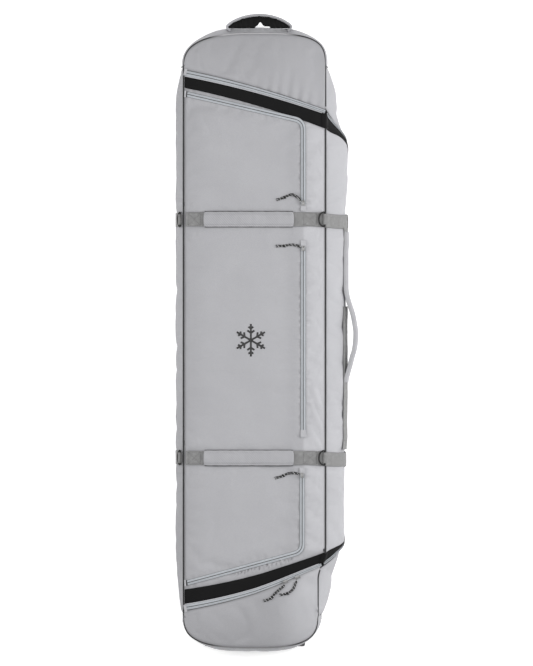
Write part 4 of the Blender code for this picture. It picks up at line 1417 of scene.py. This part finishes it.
def plate(name, outline, centre, depth, bevel, upright=True):
    """A moulded plate with rounded edges: an outline facing the side or, if not upright, the front."""
    made = bmesh.new()
    rings = []
    for c in (-depth / 2.0, depth / 2.0):
        rings.append([made.verts.new(place_at(Vector(centre) + Vector((c, a, b) if upright else (a, b, c))))
                      for a, b in outline])
    bridge_rings(made, rings)
    bmesh.ops.recalc_face_normals(made, faces=made.faces)
    bmesh.ops.bevel(made, geom=made.edges[:], offset=bevel, segments=2, profile=0.6, affect="EDGES",
                    clamp_overlap=True)
    return made_mesh(name, made, 35)


def rounded_box(width, height, corner, steps=4):
    outline = []
    for cx, cy, start in ((1, 1, 0.0), (-1, 1, 0.5), (-1, -1, 1.0), (1, -1, 1.5)):
        for k in range(steps + 1):
            angle = math.pi * (start + 0.5 * k / steps)
            outline.append((cx * (width / 2 - corner) + corner * math.cos(angle),
                            cy * (height / 2 - corner) + corner * math.sin(angle)))
    return outline


BUCKLE_Z = 0.0645
# Each half: its body, and the plates of its moulding as (outline, x, z, depth, bevel).
BUCKLE_HALVES = {
    "buckle_socket": ("base", (((0.0445, 0.0235, 0.005), -0.0035, -0.013, 0.0088, 0.0012),
                               ((0.03, 0.0035, 0.0015), 0.0012, -0.017, 0.0012, 0.0003),
                               ((0.03, 0.0025, 0.001), 0.0012, -0.011, 0.0012, 0.0003))),
    "buckle_plug": ("lid", (((0.0405, 0.0175, 0.004), 0.0, 0.01, 0.0063, 0.001),
                            ((0.032, 0.003, 0.0012), 0.0033, 0.014, 0.0012, 0.0003))),
}
for place_name, strap_y, buckle_x in zip(("upper", "lower"), STRAP_Y, (0.2575, 0.252)):
    for half_name, (body, plates) in BUCKLE_HALVES.items():
        node = f"{half_name}_{place_name}"
        mesh = join_meshes(f"{node}_moulding", [
            plate("plate", rounded_box(*box), (buckle_x + x, strap_y - STRAP_SAG, BUCKLE_Z + z), depth, bevel)
            for box, x, z, depth, bevel in plates])
        add_piece(f"{node}_moulding", mesh, BLACK_PLASTIC, body, [node])


# ---- D-rings ---------------------------------------------------------------------------------
def d_ring_path(bar_centre, outward, steps=30):
    centre, outward = Vector(bar_centre), Vector(outward).normalized()
    path = []
    for step in range(steps + 1):
        angle = math.pi * step / steps
        path.append(centre + Vector((0.0, math.cos(angle) * RING_WIDTH / 2.0, 0.0))
                    + outward * (math.sin(angle) ** 0.8 * RING_REACH))
    return path + [path[-1].lerp(path[0], k / 6.0) for k in range(1, 6)]


TAB_WIDTH, RING_SIDES = 0.029, 14


def ring_tab(name, bar, out, body):
    """A webbing loop round the ring's straight bar, with its two ends sewn down at out."""
    path = []
    out = Vector(out).normalized()
    over = Vector((0.0, 1.0, 0.0)).cross(out).normalized()
    if over.z < 0 and abs(over.z) > 0.3:
        over = -over
    for k in range(15):
        angle = math.radians(-75.0 + 262.0 * k / 14)
        path.append(Vector(bar) + (out * math.cos(angle) + over * math.sin(angle)) * 0.0038)
    path.insert(0, path[0] + out * 0.006 - over * 0.0002)
    strip(name, path, web_profile(TAB_WIDTH, 0.0011, 0.0003), WEBBING, body, across=ALONG_Y)


def ring(side, place_name, bar, out, body):
    """A D-ring lying against the way out of its tab, and the tab."""
    node = f"ring_{side}_{place_name}"
    round_piece(f"{node}_wire", d_ring_path(bar, -out), RING_WIRE / 2.0, BLACK_PLASTIC, node,
                [node], RING_SIDES, True)
    ring_tab(f"ring_tab_{side}_{place_name}", bar, out, body)


for place_name, y in zip(("upper", "lower"), STRAP_Y):
    bar = side_point(y, 0.93, -1) - Vector((0.0065, 0.0, 0.0))
    ring("left", place_name, bar, Vector((0.4, 0.0, 1.0)), "base")
    ring("right", place_name, on_front(HALF_WIDTH - 0.001, y, 0.0084), Vector((1.0, 0.0, -0.24)), "lid")


# ---- Side handle -----------------------------------------------------------------------------
HANDLE_ENDS, HANDLE_ARCH_SHARE, HANDLE_REACH = (0.3, -0.12), 0.63, 0.027
HANDLE_WIDTH, HANDLE_THICK, HANDLE_ROOT_H = 0.03, 0.008, 0.62
DOWN_THE_SIDE = Vector((0.36, 0.0, -0.93)).normalized()
handle_root = side_point(0.0, HANDLE_ROOT_H, 1)
handle_path = []
for u in spread(0.0, 1.0, 120):
    y = HANDLE_ENDS[1] + (HANDLE_ENDS[0] - HANDLE_ENDS[1]) * u
    arch = math.sin(math.pi * min(1.0, u / HANDLE_ARCH_SHARE)) ** 1.6
    flat = over_side(side_point(y, HANDLE_ROOT_H, 1), HANDLE_THICK - 0.001)
    handle_path.append(Vector((flat.x + HANDLE_REACH * arch, y, handle_root.z)))
piece = strip("side_handle_sleeve", handle_path, sleeve_profile(HANDLE_WIDTH, HANDLE_THICK - 0.002, 0.0012),
              SLEEVE, "side_handle", ["side_handle"], DOWN_THE_SIDE,
              lambda t: 0.9 + 0.1 * min(1.0, min(t, 1.0 - t) * 30.0) ** 0.5)


def side_run(start, end, off):
    """Points along the lid's side at the handle's height, for webbing that lies on the cloth."""
    spots = [over_side(side_point(y, HANDLE_ROOT_H, 1), off) for y in spread(start, end, 50)]
    reach = [spot.x for spot in spots]
    for i, spot in enumerate(spots):
        near = reach[max(0, i - 3):i + 4]
        spot.x = max(reach[i], sum(near) / len(near))
    return spots


for name, start, end, width, off in (("handle_web_lower", -0.306, -0.094, 0.03, 0.0034),
                                     ("handle_web_upper", 0.27, 0.314, 0.03, 0.003),
                                     ("handle_backing", -0.1, 0.092, 0.032, 0.0024)):
    strip(name, side_run(start, end, off), web_profile(width, 0.0018), WEBBING, "lid",
          across=DOWN_THE_SIDE)
for spot in (-0.11, -0.176, -0.286):
    for dy in (-0.005, 0.0, 0.005):
        line = [over_side(side_point(spot + dy, HANDLE_ROOT_H + dh, 1), 0.0036)
                for dh in (-0.07, 0.0, 0.07)]
        stitch("lid", line, Vector((1.0, 0.0, 0.0)), "dark")


# ---- Tow handle ------------------------------------------------------------------------------
TOW_X, TOW_HALF, TOW_REACH, TOW_Z, TOW_WIDTH = 0.0125, 0.086, 0.03, 0.125, 0.026
TOW_ARCH = 1.6
tow_root = TOP_SEAM_Y + TOP_BULGE + 0.004


def tow_arch(u, inward=0.0):
    angle = math.pi * (1.0 - u)
    x = TOW_X - (TOW_HALF - inward) * math.cos(angle)
    return Vector((x, tow_root + (TOW_REACH - inward) * math.sin(angle) ** TOW_ARCH, TOW_Z))


path = [tow_arch(u) for u in spread(0.0, 1.0, 120)]
path = ([path[0] + Vector((-0.0045, -0.0038, 0.0)) * k for k in (2, 1)] + path
        + [path[-1] + Vector((0.0045, -0.0038, 0.0)) * k for k in (1, 2)])
strip("tow_handle_web", path, sleeve_profile(TOW_WIDTH, 0.007, 0.0), SLEEVE, "tow_handle",
      ["tow_handle"], UP)
TOW_TICKS = (-0.058, -0.034, 0.0135, 0.04, 0.06)


def tow_lining(u, v):
    """Gathered black cloth from the handle's band down to the bag, open right of the middle."""
    edge = tow_arch(0.035 + 0.93 * u, 0.0006)
    tick = sum(math.exp(-((edge.x - x) / 0.0022) ** 2) for x in TOW_TICKS)
    gap = 0.0072 * math.exp(-((edge.x - 0.016) / 0.0065) ** 2)
    gap += 0.0034 * smooth(0.0, 0.004, edge.x) * smooth(0.046, 0.04, edge.x)
    low = min(edge.y - 0.0006, tow_root - 0.0035 + 1.6 * gap)
    edge.y += 0.0024 * tick * (1.0 - v)
    edge.y += (low - edge.y) * v
    edge.z += TOW_WIDTH * (0.34 * math.sin(math.pi * (0.22 + 0.6 * v)) + 0.19 * tick * (1.0 - v) ** 2)
    edge.z += 0.0009 * math.sin(u * 95.0 + 2.0 * v) * math.sin(math.pi * v)
    return edge


points = grid_points(tow_lining, 190, 14)
piece = cloth_piece("tow_handle_gather", points, "tow_handle", BLACK_CLOTH, ())
thicken(piece, 0.004)
for place_name, side in (("left", -1.0), ("right", 1.0)):
    x = TOW_X + side * (TOW_HALF - 0.004)
    tab = [end_point((x + dx) / HALF_WIDTH, 0.6, True, FLOOR) + Vector((0.0, 0.003, 0.0))
           for dx in (-0.012, -0.006, 0.0, 0.006, 0.012)]
    strip(f"tow_tab_{place_name}", tab, web_profile(0.034, 0.0016), SLEEVE, "base", across=UP)


# ---- The finished cloth, to lay things on ------------------------------------------------------
TOP_CLOTH = surface_of(["lid_front_panel", "upper_front", "lower_front"]
                       + [piece.name for piece in bpy.data.objects if piece.name.endswith("_tape")
                          or piece.name.startswith("lid_band")])


def on_cloth(x, y, lift, least=0.0):
    """A point above the finished cloth, and at least this far above the plain panel."""
    spot = on_front(x, y, least)
    hit = TOP_CLOTH.ray_cast(place_at(Vector((x, y, 0.4))), Vector((0.0, 0.0, -1.0)))[0]
    if hit:
        spot.z = max(spot.z, hit.z + lift)
    return spot


# ---- Zip sliders, garages and end stops ------------------------------------------------------
def metal(name, level):
    n = Nodes(name)
    wear = n.noise(n.place(), 350.0, 4.0, 0.7)
    colour = n.mix(n.ramp(wear, 0.45, 0.7), grey(level), grey(level * 1.7))
    return n.finish(colour, n.ramp(wear, 0.3, 0.7, 0.28, 0.45), n.bump(wear, 0.0001, 0.4), Metallic=0.75)


SLIDER_METAL = metal("slider_paint", 0.17)
SLIDER_THICK = 0.005


# Each slider: its place, the zip's direction and its pull cord's route, as steps from the slider.
ZIP_SLANT = Vector((0.94, 0.34)).normalized()
SLIDERS = {
    "upper_pocket": ((0.135, 0.378), Vector((0.0, 1.0)),
                     [(-0.0075, 0.004), (-0.014, 0.012), (-0.03, 0.0215), (-0.048, 0.0165),
                      (-0.058, 0.012), (-0.0735, 0.006)]),
    "centre_pocket": ((0.135, 0.252), Vector((0.0, 1.0)),
                      [(-0.0075, 0.003), (-0.016, 0.006), (-0.032, 0.0085), (-0.048, 0.007),
                       (-0.06, 0.006), (-0.0755, 0.004)]),
    "lower_pocket": ((0.132, -0.376), Vector((0.0, 1.0)),
                     [(-0.0075, 0.002), (-0.018, 0.004), (-0.033, 0.004), (-0.048, 0.0),
                      (-0.06, -0.005), (-0.0745, -0.0105)]),
    "main_left": ((0.086, -0.671), ZIP_SLANT,
                  [(-0.003, -0.0095), (-0.007, -0.016), (-0.02, -0.027), (-0.034, -0.04),
                   (-0.045, -0.05), (-0.06, -0.056)]),
    "main_right": ((0.12, -0.659), ZIP_SLANT,
                   [(-0.002, -0.0095), (-0.005, -0.018), (-0.011, -0.033), (-0.023, -0.043),
                    (-0.038, -0.048), (-0.05, -0.0515)]),
}


def braid(name, dark, light):
    """Black cord flecked with white strands that wind round it."""
    n = Nodes(name)
    x, y, z = n.split(n.place())
    one = n.waves(n.math("ADD", x, n.math("MULTIPLY", y, 0.8)), 0.01)
    two = n.waves(n.math("SUBTRACT", n.math("MULTIPLY", x, 0.7), n.math("ADD", y, z)), 0.0052)
    fleck = n.math("MULTIPLY", n.ramp(one, 0.86, 0.95), n.ramp(two, 0.3, 0.6))
    colour = n.mix(fleck, grey(dark), grey(light))
    return n.finish(colour, n.ramp(one, 0.0, 1.0, 0.6, 0.8), n.bump(n.math("ADD", one, two), 0.0003, 0.8))


BRAID = braid("braided_cord", 0.004, 0.6)
CORD_LIFT = ZIP_LIFT + ZIP_THICK + CORD_DIAMETER / 2.0 + 0.0012


CORD_RADIUS, KNOT_SIZE, KNOT_SHARE = CORD_DIAMETER / 2.0, 0.00175, 0.66


def rest_on_cloth(point):
    point.z = max(point.z, on_cloth(point.x, point.y, CORD_RADIUS + 0.0003).z)


def cord_route(spot, pull, start_z):
    """The cord's middle line, from the slider over the finished cloth."""
    places = [(spot[0] + dx, spot[1] + dy) for dx, dy in pull]
    route = [Vector((*places[0], start_z))]
    route += [on_cloth(x, y, CORD_RADIUS + 0.0008, CORD_LIFT - 0.001) for x, y in places[1:]]
    route = smooth_route(route, 5)
    for point in route[4:]:
        rest_on_cloth(point)
    return route


def second_strand(route, knot_at):
    """A strand beside the first, that bows away from it before the knot and parts from it after."""
    strand = []
    for index, point in enumerate(route):
        ahead = route[min(len(route) - 1, index + 1)] - route[max(0, index - 1)]
        side = Vector((-ahead.y, ahead.x, 0.0)).normalized()
        if index <= knot_at:
            apart = 0.0011 + 0.003 * math.sin(math.pi * index / knot_at) ** 0.7
        else:
            apart = 0.0011 + 0.0045 * (index - knot_at) / (len(route) - knot_at)
        spot = point - side * apart - UP * 0.0002
        if index > 4:
            rest_on_cloth(spot)
        strand.append(spot)
    return strand


def knot_path(centre, along):
    """A trefoil: the shape of an overhand knot, flattened onto the cloth."""
    side = Vector((-along.y, along.x, 0.0)).normalized()
    path = []
    for k in range(64):
        t = 2.0 * math.pi * k / 64
        a = math.sin(t) + 1.9 * math.sin(2.0 * t)
        b = math.cos(t) - 1.9 * math.cos(2.0 * t)
        path.append(centre + (along * a + side * b * 0.72 - UP * math.sin(3.0 * t)) * KNOT_SIZE)
    return path


def tail_end(t):
    """The radius along a cord, with its cut end a little frayed and melted."""
    return CORD_RADIUS * (1.0 if t < 0.93 else 1.12 - 0.35 * (t - 0.93) / 0.07)


def slider_casting(name, centre, along):
    """A waisted shield, with the bridge that holds the puller."""
    half_shield = [(0.0048, -0.0072), (0.005, -0.002), (0.004, 0.002), (0.0048, 0.0066), (0.002, 0.0073)]
    shield = [(-0.0048, -0.0072), *half_shield, *((-x, y) for x, y in half_shield[:0:-1])]
    bridge = [(-0.0055, 0.0), (-0.004, 0.0017), (0.0, 0.0021), (0.004, 0.0016), (0.0058, 0.0)]
    bar = tube_mesh("bridge", [place_at((0.0, y, z)) for y, z in bridge], 0.001, 8, flat=0.8)
    mesh = join_meshes(name, [plate("shield", shield, (0.0, 0.0, -0.001), 0.0028, 0.0006, False), bar])
    turned = Matrix.Rotation(math.atan2(along.y, along.x) - math.pi / 2.0, 4, "Z")
    mesh.transform(Matrix.Translation(SHIFT + centre) @ turned @ Matrix.Translation(-SHIFT))
    mesh.shade_smooth()
    mesh.set_sharp_from_angle(angle=math.radians(35))
    return mesh


for slider_name, (spot, along, pull) in SLIDERS.items():
    body, cord_name = f"slider_{slider_name}", f"pull_cord_{slider_name}"
    centre = on_front(*spot, SLIDER_LIFT + SLIDER_THICK / 2.0)
    add_piece(f"{body}_casting", slider_casting(f"{body}_casting", centre, along), SLIDER_METAL, body,
              [body])
    route = cord_route(spot, pull, centre.z)
    length = sum((b - a).length for a, b in zip(route, route[1:]))
    cord = round_piece(f"{cord_name}_braid", route, tail_end, BRAID, body, [cord_name], 12)
    knot_at = int(len(route) * KNOT_SHARE)
    strand = round_piece(f"{cord_name}_strand", second_strand(route, knot_at), CORD_RADIUS * 0.94, BRAID, body,
                         (), 10)
    heading = (route[knot_at + 1] - route[knot_at - 1]).normalized()
    knot = round_piece(f"{cord_name}_knot", knot_path(route[knot_at] + UP * 0.001, heading), CORD_RADIUS * 0.92,
                       BRAID, body, (), 10, True)
    tuple(place_at(route[0]))
    [tuple(place_at(p)) for p in route]


# ---- Emblem ----------------------------------------------------------------------------------
def snowflake_lines(size):
    """A plain six-armed snowflake: each arm has two pairs of side branches."""
    lines = []
    for arm in range(6):
        turn = math.radians(60.0 * arm + 30.0)
        out = Vector((math.cos(turn), math.sin(turn), 0.0))
        lines.append((Vector((0.0, 0.0, 0.0)), out * size))
        for at, reach in ((0.45, 0.26), (0.72, 0.18)):
            for side in (-1.0, 1.0):
                branch = Matrix.Rotation(math.radians(55.0 * side), 3, "Z") @ out
                lines.append((out * size * at, out * size * at + branch * size * reach))
    return lines


def print_material(name, level):
    n = Nodes(name)
    wear = n.noise(n.place(), 220.0, 3.0, 0.7)
    colour = n.mix(n.ramp(wear, 0.5, 0.75), grey(level), grey(level * 2.2))
    return n.finish(colour, n.ramp(wear, 0.3, 0.7, 0.5, 0.7), n.bump(wear, 0.0002, 0.5))


PRINT = print_material("emblem_print", 0.008)
EMBLEM_AT, EMBLEM_SIZE, EMBLEM_LINE = Vector((-0.01, -0.002, 0.0)), 0.045, 0.0026
emblem_parts = []
for start, end in snowflake_lines(EMBLEM_SIZE):
    spots = [start.lerp(end, share) + EMBLEM_AT for share in spread(0.0, 1.0, 6)]
    emblem_parts.append(tube_mesh("arm", [place_at(on_cloth(spot.x, spot.y, 0.0004)) for spot in spots],
                                  EMBLEM_LINE, 8, flat=0.25))
add_piece("snowflake_emblem", join_meshes("snowflake_emblem", emblem_parts), PRINT, "lid")


# ---- Garages and end stops of the zips -------------------------------------------------------
def cloth_tab(name, centre, along, length, width, material, body, lift):
    """A short folded tab of cloth, with its two ends turned down."""
    step_along = Vector((*along, 0.0)).normalized() * length
    path = []
    for share in spread(-0.5, 0.5, 12):
        spot = Vector((*centre, 0.0)) + step_along * share
        path.append(on_front(spot.x, spot.y, lift - 0.0012 * abs(2.0 * share) ** 6))
    strip(name, path, web_profile(width, 0.0014, 0.0005), material, body)


TAB = twill("tab_cloth", 0.36, pitch=0.0013)
BLACK_TAB = twill("black_tab", 0.018, (1.0, 1.0, 1.05), pitch=0.0013, contrast=0.4)
TAB_LIFT = ZIP_LIFT + ZIP_THICK + 0.0016
for name, centre, along, length, width, material in (
        ("garage_upper", (0.135, 0.3655), (0, 1), 0.02, 0.015, TAB),
        ("garage_centre_high", (0.135, 0.2655), (0, 1), 0.02, 0.015, TAB),
        ("garage_centre_low", (0.135, -0.261), (0, 1), 0.022, 0.015, TAB),
        ("garage_lower", (0.132, -0.364), (0, 1), 0.018, 0.015, TAB),
        ("stop_upper_light", (-0.192, 0.6808), (1, -0.1), 0.005, 0.018, TAB),
        ("stop_upper_black", (-0.188, 0.68), (1, -0.06), 0.0026, 0.0165, BLACK_TAB),
        ("stop_lower_light", (-0.192, -0.6758), (1, 0.1), 0.005, 0.018, TAB),
        ("stop_lower_black", (-0.188, -0.675), (1, 0.06), 0.0026, 0.0165, BLACK_TAB)):
    cloth_tab(name, centre, along, length, width, material, "lid", TAB_LIFT)
cloth_tab("main_zip_end_lower", (-0.192, -0.746), (0.98, 0.2), 0.008, 0.02, TAB, "base", 0.0032)
cloth_tab("main_zip_end_upper", (-0.192, 0.742), (0.98, -0.2), 0.008, 0.018, TAB, "base", 0.0032)


# ---- Wheels, housing and rails ---------------------------------------------------------------
def tyre_material():
    n = Nodes("tyre_rubber")
    dust = n.noise(n.place(), 120.0, 4.0, 0.7)
    fine = n.noise(n.place(), 900.0, 2.0)
    colour = n.mix(n.ramp(dust, 0.45, 0.75, 0.0, 0.7), grey(0.017), grey(0.075, (1.0, 0.97, 0.92)))
    return n.finish(colour, n.ramp(dust, 0.3, 0.7, 0.6, 0.85), n.bump(fine, 0.0003, 0.6))


RUBBER = tyre_material()
HUB = plastic("hub_nylon", 0.2, 0.42, 0.15)
HOUSING = plastic("housing_plastic", 0.022, 0.45, 0.35)
RAIL = plastic("rail_plastic", 0.02, 0.36, 0.45)
STEEL = metal("axle_steel", 0.5)


def lathe(name, centre, profile, sides=64):
    """Turns a closed (distance along X, radius) profile round the wheel's axle line."""
    made = bmesh.new()
    turns = [2.0 * math.pi * k / sides for k in range(sides)]
    rings = [[made.verts.new(centre + Vector((x, r * math.cos(turn), r * math.sin(turn))))
              for x, r in profile] for turn in turns]
    bridge_rings(made, rings, True)
    return made_mesh(name, made, 38)


TYRE_BORE = 0.0272
for side in ("left", "right"):
    low, high = (Vector(corner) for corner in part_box(f"tyre_{side}"))
    centre = (low + high) / 2.0
    radius, half = (high.z - low.z) / 2.0, (high.x - low.x) / 2.0
    shoulder = [(half, TYRE_BORE), (half, radius - 0.005), (half - 0.002, radius - 0.0015),
                (half - 0.005, radius - 0.0003)]
    tyre = [(-x, r) for x, r in shoulder]
    for x in spread(0.0062 - half, half - 0.0062, 3):
        tyre += [(x - 0.0006, radius), (x, radius - 0.0013), (x + 0.0006, radius)]
    tyre += shoulder[::-1]
    add_piece(f"tyre_{side}_tread", lathe("tyre", centre, tyre), RUBBER, f"wheel_{side}",
              [f"tyre_{side}"])
    width = half - 0.002
    half_hub = [(0.0, 0.0045), (0.0, 0.0105), (0.0012, 0.0115), (0.005, 0.0125), (0.005, 0.0215),
                (0.0012, 0.0228), (0.0, 0.024), (0.0, 0.0262), (0.0008, 0.0268)]
    hub = [(-width + x, r) for x, r in half_hub] + [(width - x, r) for x, r in half_hub[::-1]]
    parts = [lathe("hub", centre, hub)]
    for k in range(5):
        angle = 2.0 * math.pi * k / 5.0
        out = Vector((0.0, math.cos(angle), math.sin(angle)))
        for x in (0.0035 - width, width - 0.0035):
            line = [centre + Vector((x, 0.0, 0.0)) + out * r for r in (0.0112, 0.015, 0.019, 0.0232)]
            parts.append(tube_mesh("spoke", line, 0.0026, 8, flat=0.9))
    add_piece(f"wheel_hub_{side}_spoked", join_meshes("hub", parts), HUB, f"wheel_{side}",
              [f"wheel_hub_{side}"])

KEPT = {"wheel_housing": HOUSING, "skid_rail_left": RAIL, "skid_rail_right": RAIL, "axle_left": STEEL,
        "axle_right": STEEL, "inner_buckle_upper": BLACK_PLASTIC, "inner_buckle_lower": BLACK_PLASTIC}
for node, material in KEPT.items():
    for holder in frame["nodes"][node].material_slots:
        holder.material = material


# ---- Inside the board compartment ------------------------------------------------------------
QUILT_X, QUILT_Y, QUILT_DEPTH, QUILT_LINE = 0.058, 0.075, 0.0022, 0.004


def quilt_relief(at):
    """The stitched lines of the squares, and the turned-down borders."""
    lift = np.full(len(at.x), 0.0)
    for value, pitch, most in ((at.x, QUILT_X, 2), (at.y, QUILT_Y, 9)):
        for k in range(-most, most + 1):
            lift = np.minimum(lift, -QUILT_DEPTH * bell(value, k * pitch, QUILT_LINE))
    return lift - 0.0028 * bell(at.near, 0.0, QUILT_LINE)


def quilted_pad(node, body, faces_up):
    """A foam pad under lining, with stitched squares on the side that shows."""
    low, high = (Vector(corner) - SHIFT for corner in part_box(node))
    start, end, z = (low.x, high.x, high.z - 0.0008) if faces_up else (high.x, low.x, low.z + 0.0008)

    def surface(u, v):
        return Vector((start + (end - start) * u, low.y + (high.y - low.y) * v, z))
    pad = cloth_piece(f"{node}_quilt", grid_points(surface, 84, 240), body, INNER_FOAM, [node])
    emboss(pad, quilt_relief)
    thicken(pad, high.z - low.z - 0.003)


quilted_pad("base_pad", "base", True)
quilted_pad("lid_pad", "lid", False)
INNER_WEB = webbing("inner_webbing", 0.035, half=0.0125)
for place_name in ("upper", "lower"):
    low, high = (Vector(corner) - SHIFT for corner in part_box(f"inner_strap_{place_name}"))
    y = (low.y + high.y) / 2.0
    strip(f"inner_strap_{place_name}_web", [Vector((x, y, high.z)) for x in spread(low.x, high.x, 60)],
          web_profile(high.y - low.y, high.z - low.z), INNER_WEB, "base",
          [f"inner_strap_{place_name}"])

for (body, shade), meshes in STITCHES.items():
    if meshes:
        add_piece(f"stitches_{body}_{shade}", join_meshes("stitches", meshes), THREADS[shade], body)


# ---- Room, light and camera ------------------------------------------------------------------
def plain_floor():
    n = Nodes("floor")
    grain = n.noise(n.place(), 3.0, 2.0)
    colour = n.mix(grain, grey(0.93), grey(0.95))
    n.finish(colour, 0.9, Emission_Color=(1.0, 1.0, 1.0, 1.0), Emission_Strength=0.35)
    mesh = bpy.data.meshes.new("floor")
    size = 9.0
    corners = [(x * size, y * size, 0) for x, y in ((-1, -1), (1, -1), (1, 1), (-1, 1))]
    mesh.from_pydata(corners, [], [(0, 1, 2, 3)])
    new_object("floor", mesh, n.material)


LIGHT_TARGET = Vector((0.0, 0.0, 0.1))


def area_light(name, place, size, power):
    lamp = bpy.data.lights.new(name, "AREA")
    lamp.shape = "RECTANGLE"
    lamp.size, lamp.size_y = size
    lamp.energy = power
    holder = bpy.data.objects.new(name, lamp)
    bpy.context.scene.collection.objects.link(holder)
    holder.location = place
    holder.rotation_euler = (LIGHT_TARGET - Vector(place)).to_track_quat("-Z", "Y").to_euler()


CAMERA_X, CAMERA_Y, CAMERA_ABOVE, FRONT_Z = 0.0332, 0.018, 16.0, 0.2
SENSOR, SHOWN_HEIGHT = 24.0, 1.845      # the sensor's height in mm, and the height it shows in metres


def light_and_camera():
    scene = bpy.context.scene
    world = bpy.data.worlds.new("soft_light")
    scene.world = world
    world.use_nodes = True
    sky = world.node_tree.nodes["Background"].inputs
    sky[0].default_value, sky[1].default_value = grey(1.0), 0.55
    area_light("key", (3.2, 0.4, 2.2), (1.6, 3.0), 120.0)
    area_light("fill", (-3.2, -0.2, 1.8), (1.6, 3.0), 55.0)
    area_light("top", (-0.6, 0.2, 4.2), (2.5, 3.5), 70.0)
    scene.view_settings.view_transform = "Standard"
    scene.view_settings.look = "None"
    scene.view_settings.exposure = 0.0
    lens = bpy.data.cameras.new("camera")
    lens.sensor_fit = "VERTICAL"
    lens.sensor_height = SENSOR
    lens.lens = SENSOR * CAMERA_ABOVE / SHOWN_HEIGHT
    lens.clip_end = 50.0
    camera = bpy.data.objects.new("camera", lens)
    scene.collection.objects.link(camera)
    camera.location = SHIFT + Vector((CAMERA_X, CAMERA_Y, CAMERA_ABOVE + FRONT_Z))
    scene.camera = camera


plain_floor()
light_and_camera()
bpy.context.view_layer.update()
